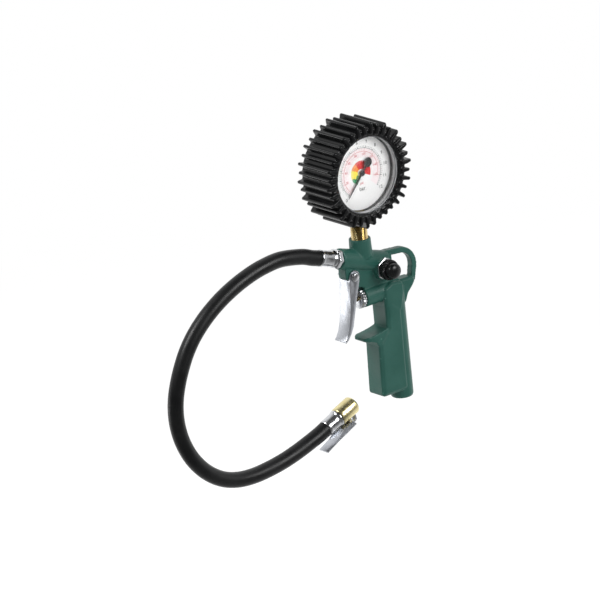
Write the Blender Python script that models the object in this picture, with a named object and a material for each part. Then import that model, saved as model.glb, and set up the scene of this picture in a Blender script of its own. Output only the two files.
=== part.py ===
"""Tyre inflator with gauge: a pistol-shaped air gun with a dial gauge, a hose and a clip-on chuck.

The origin is the top of the hanging loop's inside, where a hook bears. +Z is up along the grip, -X is the
front, where the hose leaves, and -Y is the side that the dial and the deflation button face.
Every length is in millimetres here, and MM turns it into metres.
"""

import math

import bmesh
import bpy
from mathutils import Vector

MM = 0.001
GAP = 0.3                     # between pieces that touch
THREAD_GAP = 0.3              # round a screwed spigot in its hole

# Body casting
NECK_R_TOP = 8.4
NECK_R_BASE = 8.9
NECK_LENGTH = 15.0
THREAD_R = 6.58                         # G1/4 pipe thread
THREAD_BORE_DEPTH = 11.5
THREAD_LENGTH = 11.2                    # above the neck top
SHANK_R = 6.0                           # stem between its thread and its block
BARREL_R = 8.2
UPPER_TILT = 18.0                       # the outlet barrel rises towards the front
UPPER_FRONT = (-22.4, -10.7)            # centre of its front face from the neck top
UPPER_LENGTH = 45.3
LOWER_FRONT = (-3.7, -47.0)             # centre of the valve barrel's front face
LOWER_LENGTH = 34.0
AIR_BORE_R = 3.2
WEB_HALF = 4.2
LUG_HALF = 4.8
GRIP_HALF = 8.7
SHOULDER_HALF = 9.2
LOOP_ROOT_HALF = 5.6
PANEL_PROUD = 0.8
COLUMN_X = 26.6                         # round air column at the back of the grip
COLUMN_R = 8.9
INLET_Z = -135.5
INLET_DEPTH = 14.0
LOOP_CROWN = (34.6, -33.6)              # centre of the loop's rounded top
LOOP_CROWN_R = 15.9
LOOP_HALF = 3.0
LOOP_BAND = 4.4

# Trigger
PIVOT = (-13.3, -26.5)
SHEET = 1.2
TRIGGER_FACE_X = -19.9                 # front of the trigger level with the valve
TRIGGER_HALF = 6.3
PIVOT_R = 1.9
PIVOT_CLEARANCE = 0.3

# Valve that the trigger opens
NUT_R = 8.0
NUT_LENGTH = 5.0
CARTRIDGE_R = 5.2
CARTRIDGE_LENGTH = 12.0
STEM_R = 1.7
STEM_CLEARANCE = 0.35
POPPET_R = 4.2
CHAMBER_R = 5.6

# Deflation valve
DEFLATE = (15.2, -27.7)
DEFLATE_BOSS_R = 8.6
DEFLATE_SLEEVE_R = 8.0
DEFLATE_SLEEVE_LENGTH = 6.0
DEFLATE_BUTTON_R = 6.0
DEFLATE_STROKE = 2.5
DEFLATE_FOOT = 1.4                      # length of the wider foot that holds the seal
DEFLATE_BORE_R = 4.6

# Gauge
GAUGE_Z = 53.6                          # dial centre above the neck top
BOOT_OPENING_R = 29.9
BOOT_R = 36.2
BOOT_INNER_R = 33.4
RIB_TALL_R = 41.6
RIB_SHORT_R = 40.0
RIB_CLEAR_R = 37.6                      # ribs cut down beside the stem
RIB_COUNT = 36
RIB_ROOT = 3.7
RIB_TIP = 2.5
FRONT_RIB_R = 31.6                      # where the ribs start on the front face
BOOT_FRONT = 18.6                       # from the stem's axis to the boot's front lip
RIB_FRONT = 20.4
BOOT_BACK = 16.9
BOOT_WALL = 1.7
CASE_WALL = 0.8
DIAL_R = 28.9
DIAL_FRONT = 9.2
POINTER_LENGTH = 22.4
POINTER_REST = 228.0                    # pointer's angle from +X at zero pressure
PINION_R = 1.3
SECTOR_R = 10.0 * PINION_R
SECTOR_PIVOT_Y = -(SECTOR_R + PINION_R + GAP)   # from the dial centre
SECTOR_TAIL = (5.4, -2.2)               # its pin, from the sector's pivot
BOURDON_R = 23.5
BOURDON_ENDS = (258.0, -5.0)            # fixed end and free end, degrees from +X
DIAL_SCREW_R = 6.4
DIAL_SCREW_ANGLES = (20.0, 200.0)

# Hose and its ends
HOSE_R = 6.1
FERRULE_R = 6.4
FERRULE_BASE_R = 6.9
OUTLET_COLLAR_R = 7.9
OUTLET_COLLAR = 5.1
OUTLET_FERRULE = 15.0
BARB_R = 3.4
BARB_BORE_R = 2.0
CHUCK_JOINT = (-50.5, -139.3)           # where the hose meets the chuck's ferrule
CHUCK_TILT = 22.0
CHUCK_FERRULE = 13.7
CHUCK_R = 7.2
CHUCK_LENGTH = 17.4
CHUCK_MOUTH_R = 4.1
LEVER_PIN = (20.0, 9.9)                 # along the chuck from the joint, and out from its axis
LEVER_HALF = 5.0
LEVER_SHEET = 1.1

# The hose's middle line in the plane Y = 0, from the neck top, between its two ends
HOSE_ROUTE = [
    (-58.0, 1.4), (-77.9, 5.0), (-95.0, 4.0), (-109.0, 1.2), (-123.5, -3.4), (-138.0, -9.8),
    (-152.5, -18.6), (-164.5, -28.6), (-173.4, -39.0), (-180.0, -50.0), (-185.2, -61.5), (-188.9, -73.5),
    (-190.3, -86.0), (-189.2, -99.0), (-185.2, -112.5), (-178.0, -126.0), (-167.0, -138.6),
    (-153.6, -148.0), (-139.0, -153.2), (-124.0, -154.9), (-109.0, -154.2), (-94.0, -152.2),
    (-79.5, -148.9), (-65.0, -144.6),
]

GREEN = ((0.035, 0.115, 0.095), 0.45, 0.1)
ZINC = ((0.70, 0.71, 0.72), 0.3, 1.0)
BRASS = ((0.78, 0.58, 0.25), 0.25, 1.0)
BLACK = ((0.015, 0.015, 0.017), 0.55, 0.0)
SPRING_STEEL = ((0.45, 0.45, 0.46), 0.35, 1.0)
NITRILE = ((0.03, 0.03, 0.03), 0.7, 0.0)
WHITE = ((0.85, 0.85, 0.83), 0.4, 0.0)
CLEAR = ((0.9, 0.93, 0.94), 0.05, 0.0)
RED_RUBBER = ((0.25, 0.03, 0.04), 0.6, 0.0)


# Making shapes

def clear_scene():
    for obj in list(bpy.data.objects):
        bpy.data.objects.remove(obj)


def paint(obj, finish):
    colour, roughness, metallic = finish
    material = bpy.data.materials.new(obj.name)
    material.use_nodes = True
    shader = material.node_tree.nodes["Principled BSDF"]
    shader.inputs["Base Color"].default_value = (*colour, 1.0)
    shader.inputs["Roughness"].default_value = roughness
    shader.inputs["Metallic"].default_value = metallic
    obj.data.materials.append(material)


def new_object(name, bm, finish=None, smooth=True):
    bmesh.ops.recalc_face_normals(bm, faces=bm.faces)
    mesh = bpy.data.meshes.new(name)
    bm.to_mesh(mesh)
    bm.free()
    if smooth:
        mesh.shade_smooth()
        mesh.set_sharp_from_angle(angle=math.radians(35))
    obj = bpy.data.objects.new(name, mesh)
    bpy.context.scene.collection.objects.link(obj)
    if finish:
        paint(obj, finish)
    return obj


def frame(name, x, z, y=0.0, axis=None, angle=0.0, parent=None):
    """An empty at a point, turned by angle degrees about X or Y."""
    empty = bpy.data.objects.new(name, None)
    empty.location = (x * MM, y * MM, z * MM)
    if axis:
        empty.rotation_euler["XYZ".index(axis)] = math.radians(angle)
    empty.parent = parent
    bpy.context.scene.collection.objects.link(empty)
    return empty


def put(obj, parent, at=(0.0, 0.0, 0.0), turn=(0.0, 0.0, 0.0)):
    obj.parent = parent
    obj.location = Vector(at) * MM
    obj.rotation_euler = [math.radians(angle) for angle in turn]
    return obj


def turned(name, profile, finish=None, sides=24, closed=False):
    """A profile of (radius, height) points spun round Z; a closed profile makes a ring."""
    bm = bmesh.new()
    verts = [bm.verts.new((r * MM, 0.0, h * MM)) for r, h in profile]
    pairs = list(zip(verts, verts[1:]))
    if closed:
        pairs.append((verts[-1], verts[0]))
    edges = [bm.edges.new(pair) for pair in pairs]
    bmesh.ops.spin(bm, geom=verts + edges, cent=(0, 0, 0), axis=(0, 0, 1), steps=sides,
                   angle=math.tau, use_merge=True)
    bmesh.ops.remove_doubles(bm, verts=bm.verts, dist=1e-7)
    return new_object(name, bm, finish)


def rod(name, radius, low, high, finish=None, sides=20, chamfer=0.0):
    profile = [(0.0, low), (radius - chamfer, low), (radius, low + chamfer),
               (radius, high - chamfer), (radius - chamfer, high), (0.0, high)]
    if not chamfer:
        profile = [(0.0, low), (radius, low), (radius, high), (0.0, high)]
    return turned(name, profile, finish, sides)


def ring(name, inner, outer, low, high, finish=None, sides=32):
    profile = [(inner, low), (outer, low), (outer, high), (inner, high)]
    return turned(name, profile, finish, sides, closed=True)


def plate(name, outline, low, high, finish=None, across="Y"):
    """An outline extruded from low to high. Across Y the outline is in X and Z, across Z in X and Y."""
    bm = bmesh.new()
    if across == "Y":
        verts = [bm.verts.new((x * MM, low * MM, z * MM)) for x, z in outline]
        move = (0.0, (high - low) * MM, 0.0)
    else:
        verts = [bm.verts.new((x * MM, y * MM, low * MM)) for x, y in outline]
        move = (0.0, 0.0, (high - low) * MM)
    face = bm.faces.new(verts)
    grown = bmesh.ops.extrude_face_region(bm, geom=[face])
    moved = [item for item in grown["geom"] if isinstance(item, bmesh.types.BMVert)]
    bmesh.ops.translate(bm, vec=move, verts=moved)
    return new_object(name, bm, finish, smooth=False)


def arc(x, z, radius, start, end, steps):
    """Points on a circle from start to end, in degrees from +X towards +Z."""
    angles = [start + (end - start) * i / steps for i in range(steps + 1)]
    return [(x + radius * math.cos(math.radians(a)), z + radius * math.sin(math.radians(a))) for a in angles]


def boolean(target, tool, operation, solver):
    modifier = target.modifiers.new(tool.name, "BOOLEAN")
    modifier.operation = operation
    modifier.solver = solver
    modifier.object = tool
    tool.hide_render = True
    tool.display_type = "WIRE"


def fuse(target, *tools, solver="EXACT"):
    for tool in tools:
        boolean(target, tool, "UNION", solver)


def cut(target, *tools, solver="EXACT"):
    for tool in tools:
        boolean(target, tool, "DIFFERENCE", solver)


def smooth_path(points, spacing):
    """A Catmull-Rom curve through the points, read at about this spacing."""
    path = [Vector(p) for p in points]
    ends = [2 * path[0] - path[1]] + path + [2 * path[-1] - path[-2]]
    fine = []
    for before, start, end, after in zip(ends, ends[1:], ends[2:], ends[3:]):
        for step in range(12):
            t = step / 12
            fine.append(0.5 * (2 * start + (end - before) * t + (2 * before - 5 * start + 4 * end - after) * t * t
                               + (3 * start - before - 3 * end + after) * t ** 3))
    fine.append(path[-1])
    travelled = [0.0]
    for a, b in zip(fine, fine[1:]):
        travelled.append(travelled[-1] + (b - a).length)
    count = round(travelled[-1] / spacing)
    read, i = [], 0
    for step in range(count + 1):
        goal = travelled[-1] * step / count
        while i < len(fine) - 2 and travelled[i + 1] < goal:
            i += 1
        share = (goal - travelled[i]) / (travelled[i + 1] - travelled[i])
        read.append(fine[i].lerp(fine[i + 1], min(max(share, 0.0), 1.0)))
    return read


def wire(name, points, radius, finish, resolution=1):
    """A round wire or tube along a list of points."""
    curve = bpy.data.curves.new(name, "CURVE")
    curve.dimensions = "3D"
    curve.bevel_depth = radius * MM
    curve.bevel_resolution = resolution
    curve.use_fill_caps = True
    spline = curve.splines.new("POLY")
    spline.points.add(len(points) - 1)
    for point, place in zip(spline.points, points):
        point.co = (*(Vector(place) * MM), 1.0)
    obj = bpy.data.objects.new(name, curve)
    bpy.context.scene.collection.objects.link(obj)
    paint(obj, finish)
    return obj


def coil(name, radius, wire_radius, low, high, turns, finish, steps=10):
    """A compression spring round Z."""
    points = []
    for i in range(turns * steps + 1):
        angle = math.tau * i / steps
        height = low + (high - low) * i / (turns * steps)
        points.append((radius * math.cos(angle), radius * math.sin(angle), height))
    return wire(name, points, wire_radius, finish, resolution=0)


def hexagon(across_flats):
    return arc(0.0, 0.0, across_flats / 2 / math.cos(math.pi / 6), 0.0, 300.0, 5)


# Gun body

def loop_outline(inset):
    """The hanging loop's outside, from the barrel over the top and down to the grip, moved in by inset."""
    crown = arc(*LOOP_CROWN, LOOP_CROWN_R - inset, 92.0, -20.0, 12)
    return [(12.0, -16.2 - inset), (24.0, -16.6 - inset)] + crown


def grip_outline():
    """Side view of the grip: under the valve barrel, front flat, foot and back."""
    return [(12.2, -45.0), (12.2, -75.6), (9.0, -78.0), (4.4, -80.0), (2.7, -84.0), (1.2, -126.6), (2.5, -128.2),
            (COLUMN_X + 1.3, -128.8), (COLUMN_X + 1.3, -45.0)]


def shoulder_outline():
    """The thick block over the grip that the valve barrel runs into."""
    return [(12.0, -44.0), (20.0, -40.5), (31.0, -42.0), (31.5, -50.0), (28.5, -62.0), (COLUMN_X, -66.0),
            (12.0, -60.0)]


def loop_root_outline():
    """The narrower block behind it that the loop grows out of."""
    return [(22.0, -41.6), (44.6, -42.8), (46.4, -46.6), (43.4, -50.4), (38.6, -55.0), (COLUMN_X + COLUMN_R, -62.0),
            (22.0, -62.0)]


def rest_outline():
    """Side view of the finger rest."""
    return [(14.0, -74.6), (7.0, -76.2), (0.0, -77.2), (-6.0, -77.6), (-9.6, -78.4), (-10.4, -79.6),
            (-9.0, -80.8), (-4.0, -81.6), (0.5, -83.6), (2.6, -87.6), (14.0, -90.0)]


def panel_outline():
    return [(4.6, -86.0), (14.0, -76.0), (14.2, -57.6), (17.4, -56.6), (25.4, -63.0), (25.0, -126.4),
            (3.2, -126.4)]


def rounded(obj, width, segments=1, angle=40.0):
    bevel = obj.modifiers.new("rounded", "BEVEL")
    bevel.width = width * MM
    bevel.segments = segments
    bevel.limit_method = "ANGLE"
    bevel.angle_limit = math.radians(angle)
    return obj


def loop_band(gun):
    """The flat bar of the loop, between its outside and inside outlines."""
    outside = loop_outline(0.0) + [(47.6, -47.0), (36.0, -50.0), (12.0, -40.0)]
    inside = [(x, z) for x, z in loop_outline(LOOP_BAND) if x > 23.5] + [(44.4, -44.0), (23.5, -44.0)]
    band = put(plate("loop_outside", outside, -LOOP_HALF, LOOP_HALF), gun)
    hole = put(plate("loop_inside", inside, -LOOP_HALF - 1.0, LOOP_HALF + 1.0), gun)
    return band, hole


def finger_rest(gun):
    """The rest's side view, kept inside a plan view with round front corners."""
    half = GRIP_HALF - 0.2
    corner = 6.0
    front = -10.4 + corner
    plan = ([(14.0, half)] + arc(front, half - corner, corner, 90.0, 180.0, 4)
            + arc(front, corner - half, corner, 180.0, 270.0, 4) + [(14.0, -half)])
    rest = rounded(put(plate("finger_rest", rest_outline(), -half - 1.0, half + 1.0), gun), 0.8)
    keep = put(plate("finger_rest_plan", plan, -95.0, -70.0, across="Z"), gun)
    boolean(rest, keep, "INTERSECT", "EXACT")
    return rest


def air_ways(gun, upper, lower):
    """The bores that carry the air, each open to the outside or to the next."""
    x, z = LOWER_FRONT
    neck_hole = put(rod("neck_bore", THREAD_R + THREAD_GAP, -THREAD_BORE_DEPTH, 1.0), gun)
    neck_way = put(rod("neck_way", AIR_BORE_R, -20.0, -1.0, sides=16), gun)
    outlet = put(rod("outlet_bore", BARB_R + 1.2, -16.0, 1.0), upper)
    outlet_way = put(rod("outlet_way", AIR_BORE_R, -34.0, -1.0, sides=16), upper)
    cross = put(rod("cross_way", 2.0, -50.0, -20.0, sides=16), gun, (x + 9.0, 0.0, 0.0))
    seat_hole = put(rod("cartridge_bore", CARTRIDGE_R + THREAD_GAP, -CARTRIDGE_LENGTH - GAP, 1.0), lower)
    chamber = put(rod("valve_chamber", CHAMBER_R, -LOWER_LENGTH + 2.6, -CARTRIDGE_LENGTH), lower)
    inlet = put(rod("inlet_bore", 5.9, INLET_Z - 1.0, INLET_Z + INLET_DEPTH), gun, (COLUMN_X, 0.0, 0.0))
    column_way = put(rod("column_way", 3.5, INLET_Z + 2.0, z + 1.3, sides=14), gun, (COLUMN_X - 1.0, 0.0, 0.0))
    fuse(neck_hole, neck_way, outlet, outlet_way, cross, seat_hole, chamber, column_way, inlet, solver="MANIFOLD")
    return neck_hole


def make_body(gun, upper, lower, button):
    """The die-cast body with its barrels, loop, web, lug and grip."""
    column = [(0.0, INLET_Z), (COLUMN_R - 1.3, INLET_Z), (COLUMN_R - 0.5, INLET_Z + 0.6),
              (COLUMN_R, INLET_Z + 2.0), (COLUMN_R, -46.0), (0.0, -46.0)]
    body = put(turned("gun_body", column, GREEN), gun, (COLUMN_X, 0.0, 0.0))
    neck = [(0.0, -NECK_LENGTH), (NECK_R_BASE, -NECK_LENGTH), (NECK_R_TOP, -0.5), (NECK_R_TOP - 0.5, 0.0),
            (0.0, 0.0)]
    nut_top = LOWER_FRONT[1] + NUT_R + 0.7
    barrel_face = LOWER_FRONT[0] + 0.5
    web = [(-12.0, -14.0), (-12.0, -29.5), (-9.4, nut_top + 1.8), (barrel_face, nut_top), (barrel_face, -44.0),
           (26.0, -44.0), (26.0, -20.0)]
    lug = [(-20.0, -15.0), (-20.0, -27.4), (-18.4, -28.4)] + arc(*PIVOT, 4.2, 205.0, 330.0, 7) + [(-6.0, -15.0)]
    band, hole = loop_band(gun)
    fuse(body,
         rounded(put(plate("grip_slab", grip_outline(), -GRIP_HALF, GRIP_HALF), gun), 1.6),
         rounded(put(plate("shoulder", shoulder_outline(), -SHOULDER_HALF, SHOULDER_HALF), gun), 1.6),
         rounded(put(plate("loop_root", loop_root_outline(), -LOOP_ROOT_HALF, LOOP_ROOT_HALF), gun), 1.6),
         finger_rest(gun),
         rounded(put(plate("side_panel", panel_outline(), -GRIP_HALF - PANEL_PROUD, GRIP_HALF + PANEL_PROUD),
                     gun), 0.5),
         put(rod("valve_barrel", BARREL_R, -LOWER_LENGTH, 0.0, chamfer=0.5, sides=24), lower),
         put(plate("web", web, -WEB_HALF, WEB_HALF), gun),
         put(plate("lug", lug, -LUG_HALF, LUG_HALF), gun),
         put(rod("outlet_barrel", BARREL_R, -UPPER_LENGTH, 0.0, chamfer=0.5, sides=24), upper),
         put(turned("neck", neck), gun),
         put(rod("button_boss", DEFLATE_BOSS_R, -BARREL_R - 0.4, BARREL_R + 0.2, chamfer=0.8, sides=24), button))
    cut(band, hole)
    fuse(body, band)
    cut(body, air_ways(gun, upper, lower), solver="MANIFOLD")
    floor = -(DEFLATE_FOOT + DEFLATE_STROKE + 0.6)
    pocket = [(0.0, floor), (2.0, floor), (2.0, 0.5), (DEFLATE_BORE_R + THREAD_GAP, 0.5),
              (DEFLATE_BORE_R + THREAD_GAP, BARREL_R + 2.0), (0.0, BARREL_R + 2.0)]
    cut(body,
        put(turned("deflate_bore", pocket, sides=24), button),
        put(rod("pivot_hole", PIVOT_R + PIVOT_CLEARANCE, -LUG_HALF - 1.0, LUG_HALF + 1.0, sides=16), gun,
            (PIVOT[0], 0.0, PIVOT[1]), (90.0, 0.0, 0.0)),
        solver="MANIFOLD")


# Trigger and its valve

def trigger_side(inset):
    """Side outline of the trigger: ear, flange and curled lip; inset moves the front in by the sheet."""
    x, z = PIVOT
    front = [(-18.2, -26.5), (-18.4, -30.0), (TRIGGER_FACE_X, LOWER_FRONT[1]), (-20.6, -54.0), (-22.2, -62.5),
             (-24.2, -69.0), (-26.6, -73.4), (-28.4, -75.2)]
    back = [(-27.5, -76.2), (-24.9, -74.5), (-21.5, -70.0), (-18.9, -65.0), (-15.6, -53.0), (-12.4, -41.0),
            (-9.2, -31.0)]
    if inset:
        front = [(px + inset, pz) for px, pz in front]
        return [(-8.0, -16.0), (front[0][0], -16.0)] + front + [(-25.0, -79.0), (-8.0, -79.0)]
    return front + back + arc(x, z, 4.9, -25.0, 150.0, 9)


def make_trigger(gun):
    pivot = frame("trigger_pivot", *PIVOT, parent=gun)
    x, z = PIVOT
    outside = [(px - x, pz - z) for px, pz in trigger_side(0.0)]
    inside = [(px - x, pz - z) for px, pz in trigger_side(SHEET)]
    over_lug = [(-8.0, 8.0), (-8.0, -2.4), (9.0, -2.4), (9.0, 8.0)]
    inner_half = TRIGGER_HALF - SHEET
    trigger = put(plate("trigger", outside, -TRIGGER_HALF, TRIGGER_HALF, ZINC), pivot)
    cut(trigger, put(plate("trigger_hollow", inside, -inner_half, inner_half), pivot),
        put(plate("trigger_top", over_lug, -inner_half, inner_half), pivot),
        put(rod("trigger_hole", PIVOT_R + GAP, -9.0, 9.0, sides=16), pivot, turn=(90.0, 0.0, 0.0)))
    side = frame("pivot_side", *PIVOT, axis="X", angle=90.0, parent=gun)
    start = TRIGGER_HALF + GAP
    screw = [(0.0, -start - 3.2), (PIVOT_R, -start - 3.2), (PIVOT_R, start), (3.6, start), (3.6, start + 1.1),
             (2.7, start + 1.9), (0.0, start + 2.1)]
    put(turned("trigger_pivot_screw", screw, ZINC, 20), side)
    nut = put(plate("trigger_pivot_nut", hexagon(6.4), -start - 2.7, -start, ZINC, across="Z"), side)
    cut(nut, put(rod("pivot_nut_hole", PIVOT_R + GAP, -start - 4.0, -start + 1.0, sides=16), side))


def make_valve(lower):
    """Gland nut with its cartridge, stem, seals and spring; local +Z points out of the barrel's front."""
    inner = STEM_R + STEM_CLEARANCE
    back = -CARTRIDGE_LENGTH
    cartridge = [(inner, NUT_LENGTH), (NUT_R - 1.2, NUT_LENGTH), (NUT_R, NUT_LENGTH - 1.0), (NUT_R, GAP),
                 (CARTRIDGE_R, GAP), (CARTRIDGE_R, back), (3.2, back), (3.2, -3.0), (inner, -3.0),
                 (inner, -1.6), (3.9, -1.6), (3.9, 0.6), (inner, 0.6)]
    nut = put(turned("gland_nut", cartridge, ZINC, 20, closed=True), lower)
    cut(nut, put(rod("cartridge_port", 1.4, -7.0, 7.0, sides=12), lower, (0.0, 0.0, -9.0), (0.0, 90.0, 0.0)))
    tip = LOWER_FRONT[0] - (TRIGGER_FACE_X + SHEET + GAP)
    seat = back - GAP
    stem = [(0.0, tip), (STEM_R - 0.5, tip), (STEM_R, tip - 0.5), (STEM_R, seat - 1.5), (POPPET_R, seat - 1.5),
            (POPPET_R, seat - 3.3), (1.8, seat - 3.3), (1.8, seat - 5.4), (0.0, seat - 5.4)]
    put(turned("valve_stem", stem, BRASS, 20), lower)
    put(ring("poppet_seal", STEM_R + GAP, POPPET_R, seat - 1.2, seat, NITRILE, 20), lower)
    put(ring("stem_o_ring", inner + 0.05, 3.6, -1.3, 0.3, NITRILE, 20), lower)
    put(coil("valve_spring", 3.2, 0.35, -LOWER_LENGTH + 3.3, seat - 4.0, 5, SPRING_STEEL), lower)


def make_deflate_valve(button):
    """Push-in bleed valve; local +Z points out of the side of the gun."""
    face = BARREL_R + 0.2 + GAP
    inner = 3.0
    body = [(inner, face + 1.0), (DEFLATE_SLEEVE_R, face + 1.0), (DEFLATE_SLEEVE_R, face),
            (DEFLATE_BORE_R, face), (DEFLATE_BORE_R, 1.2), (1.7, 1.2), (1.7, 2.4), (inner, 2.4)]
    put(turned("deflate_valve_body", body, ZINC, 20, closed=True), button)
    low = face + 1.0 + GAP
    high = low + DEFLATE_SLEEVE_LENGTH
    bore = DEFLATE_BUTTON_R + GAP
    put(ring("deflate_sleeve", bore, DEFLATE_SLEEVE_R, low, high, BLACK), button)
    top = high + 6.4
    dome = [(0.0, top)] + [(r, z) for r, z in reversed(arc(0.0, top - 3.0, 3.0, 0.0, 72.0, 4))]
    dome = [(r * DEFLATE_BUTTON_R / 3.0, z) for r, z in dome]
    cap = dome + [(DEFLATE_BUTTON_R, low + DEFLATE_STROKE + 0.4), (2.4, low + DEFLATE_STROKE + 0.4),
                  (2.4, high - 0.6), (1.2, high - 0.6), (1.2, top - 2.0), (0.0, top - 2.0)]
    put(turned("deflate_button", cap, BLACK, 20), button)
    put(turned("deflate_stem", [(0.0, top - 2.4), (0.85, top - 2.4), (0.85, 0.0), (1.35, 0.0),
                                (1.35, -DEFLATE_FOOT), (0.0, -DEFLATE_FOOT)], BRASS, 16), button)
    put(ring("deflate_seal", 0.95, 1.6, 0.3, 0.9, NITRILE, 16), button)
    put(coil("deflate_spring", 1.9, 0.25, 2.9, high - 1.2, 5, SPRING_STEEL), button)


# Gauge; local +X is right and +Y up on the dial, +Z points out of its face

def boot_ribs(gauge):
    """All the ribs as one tool: long bars across the drum, each with a radial rib on the front face."""
    bm = bmesh.new()
    for i in range(RIB_COUNT):
        top = RIB_SHORT_R if i % 2 else RIB_TALL_R
        if 270.0 < 360.0 * i / RIB_COUNT < 310.0:
            top = RIB_CLEAR_R
        angle = math.tau * i / RIB_COUNT + math.radians(1.0)
        out = Vector((math.cos(angle), math.sin(angle), 0.0))
        side = Vector((-out.y, out.x, 0.0))
        section = [(FRONT_RIB_R + 0.3, RIB_ROOT), (top - 0.8, RIB_TIP), (top, RIB_TIP - 1.0)]
        rings = []
        for depth, drop in ((0.4 - BOOT_BACK, 0.0), (RIB_FRONT - 1.2, 0.0), (RIB_FRONT, 1.3)):
            half = [(r - (drop if r > BOOT_R else 0.0), w / 2) for r, w in section]
            corners = [(r, w) for r, w in half] + [(r, -w) for r, w in reversed(half)]
            rings.append([bm.verts.new((out * r + side * w + Vector((0, 0, depth))) * MM) for r, w in corners])
        for low, high in zip(rings, rings[1:]):
            for j in range(len(low)):
                k = (j + 1) % len(low)
                bm.faces.new((low[j], low[k], high[k], high[j]))
        bm.faces.new(rings[0])
        bm.faces.new(rings[-1])
    return put(new_object("boot_ribs", bm, smooth=False), gauge)


def make_case(gauge):
    """Rubber boot, steel case, bezel, gasket and lens, with a hole for the stem at the bottom."""
    back = -BOOT_BACK
    front = BOOT_FRONT
    drum = [(0.0, back), (BOOT_R, back), (BOOT_R, front - 0.6), (BOOT_R - 0.8, front), (0.0, front)]
    inside = [(0.0, back + BOOT_WALL), (BOOT_INNER_R, back + BOOT_WALL), (BOOT_INNER_R, front - 1.2),
              (BOOT_OPENING_R, front - 1.2), (BOOT_OPENING_R, front + 4.0), (0.0, front + 4.0)]
    boot = put(turned("gauge_boot", drum, BLACK, RIB_COUNT), gauge)
    fuse(boot, boot_ribs(gauge))
    cut(boot, put(turned("boot_inside", inside, sides=RIB_COUNT), gauge),
        put(rod("boot_stem_hole", SHANK_R + GAP, 30.0, 44.0, sides=20), gauge, turn=(90.0, 0.0, 0.0)))
    case_r = BOOT_INNER_R - GAP
    floor = back + BOOT_WALL + GAP
    rim = front - 4.4
    cup = [(0.0, floor), (case_r, floor), (case_r, rim), (case_r - CASE_WALL, rim),
           (case_r - CASE_WALL, floor + CASE_WALL), (0.0, floor + CASE_WALL)]
    case = put(turned("gauge_case", cup, ZINC, 36), gauge)
    cut(case, put(rod("case_stem_hole", SHANK_R + GAP, 25.0, 40.0, sides=20), gauge, turn=(90.0, 0.0, 0.0)))
    lip = front - 1.2 - GAP
    bezel = [(BOOT_OPENING_R - 0.8, lip), (case_r, lip), (case_r, rim + GAP), (case_r - 1.0, rim + GAP),
             (case_r - 1.0, lip - 0.7), (BOOT_OPENING_R - 0.8, lip - 0.7)]
    put(turned("gauge_bezel", bezel, ZINC, 36, closed=True), gauge)
    lens_top = lip - 0.7 - GAP
    lens_r = case_r - 1.0 - GAP
    put(rod("gauge_lens", lens_r, lens_top - 1.3, lens_top, CLEAR, 36), gauge)
    gasket_top = lens_top - 1.3 - GAP
    put(ring("lens_gasket", DIAL_R + 0.6, lens_r, rim - 2.6, gasket_top, NITRILE, 36), gauge)


def dial_screw_places():
    angles = [math.radians(angle) for angle in DIAL_SCREW_ANGLES]
    return [(DIAL_SCREW_R * math.cos(angle), DIAL_SCREW_R * math.sin(angle), 0.0) for angle in angles]


def make_dial(gauge):
    dial = put(rod("gauge_dial", DIAL_R, DIAL_FRONT - 0.6, DIAL_FRONT, WHITE, 36), gauge)
    cut(dial, put(rod("dial_hole", 1.6, 5.0, 12.0, sides=16), gauge))
    low = DIAL_FRONT - 3.0
    head = DIAL_FRONT + GAP
    screw = [(0.0, low), (0.6, low), (0.6, head), (1.2, head), (1.0, head + 0.3), (0.0, head + 0.3)]
    for i, place in enumerate(dial_screw_places()):
        cut(dial, put(rod(f"dial_screw_hole_{i + 1}", 0.9, 5.0, 12.0, sides=12), gauge, place))
        put(turned(f"dial_screw_{i + 1}", screw, WHITE, 12), gauge, place)


def make_pointer(gauge):
    """Needle with a round counterweight, pressed on the pinion's arbor."""
    low = DIAL_FRONT + 1.4
    needle = [(-7.6, -0.9), (-1.5, -1.1), (8.0, -0.9), (POINTER_LENGTH, -0.25), (POINTER_LENGTH, 0.25),
              (8.0, 0.9), (-1.5, 1.1), (-7.6, 0.9)]
    turn = (0.0, 0.0, POINTER_REST)
    pointer = put(plate("gauge_pointer", needle, low, low + 0.5, BLACK, across="Z"), gauge, turn=turn)
    hub = put(rod("pointer_hub", 2.3, low - 0.4, low + 1.2, sides=20), gauge)
    weight = put(rod("pointer_weight", 3.9, low, low + 0.5, sides=24), gauge, turn=turn)
    weight.location = Vector((math.cos(math.radians(POINTER_REST)), math.sin(math.radians(POINTER_REST)), 0.0))
    weight.location *= -9.5 * MM
    fuse(pointer, hub, weight)
    cut(pointer, put(rod("pointer_hole", 0.85, low - 1.0, low + 0.9, sides=12), gauge))
    arbor = [(0.0, -1.6), (0.5, -1.6), (0.5, 1.0), (PINION_R, 1.0), (PINION_R, 5.0), (0.5, 5.0), (0.5, low + 0.6),
             (0.0, low + 0.6)]
    put(turned("pinion_arbor", arbor, BRASS, 16), gauge)
    spiral = []
    for i in range(37):
        angle = math.tau * i / 12
        reach = 1.5 + 1.0 * i / 12
        spiral.append((reach * math.cos(angle), reach * math.sin(angle), 5.9))
    put(wire("hairspring", spiral, 0.15, BRASS, resolution=0), gauge)


def movement_plate(name, low, high, gauge):
    outline = [(-11.0, -19.3), (11.0, -19.3), (11.0, 3.0), (5.0, 10.0), (-5.0, 10.0), (-11.0, 3.0)]
    deck = put(plate(name, outline, low, high, BRASS, across="Z"), gauge)
    cut(deck, put(rod(name + "_arbor_hole", 0.8, low - 1.0, high + 1.0, sides=12), gauge),
        put(rod(name + "_sector_hole", 1.1, low - 1.0, high + 1.0, sides=12), gauge, (0.0, SECTOR_PIVOT_Y, 0.0)))
    return deck


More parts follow.
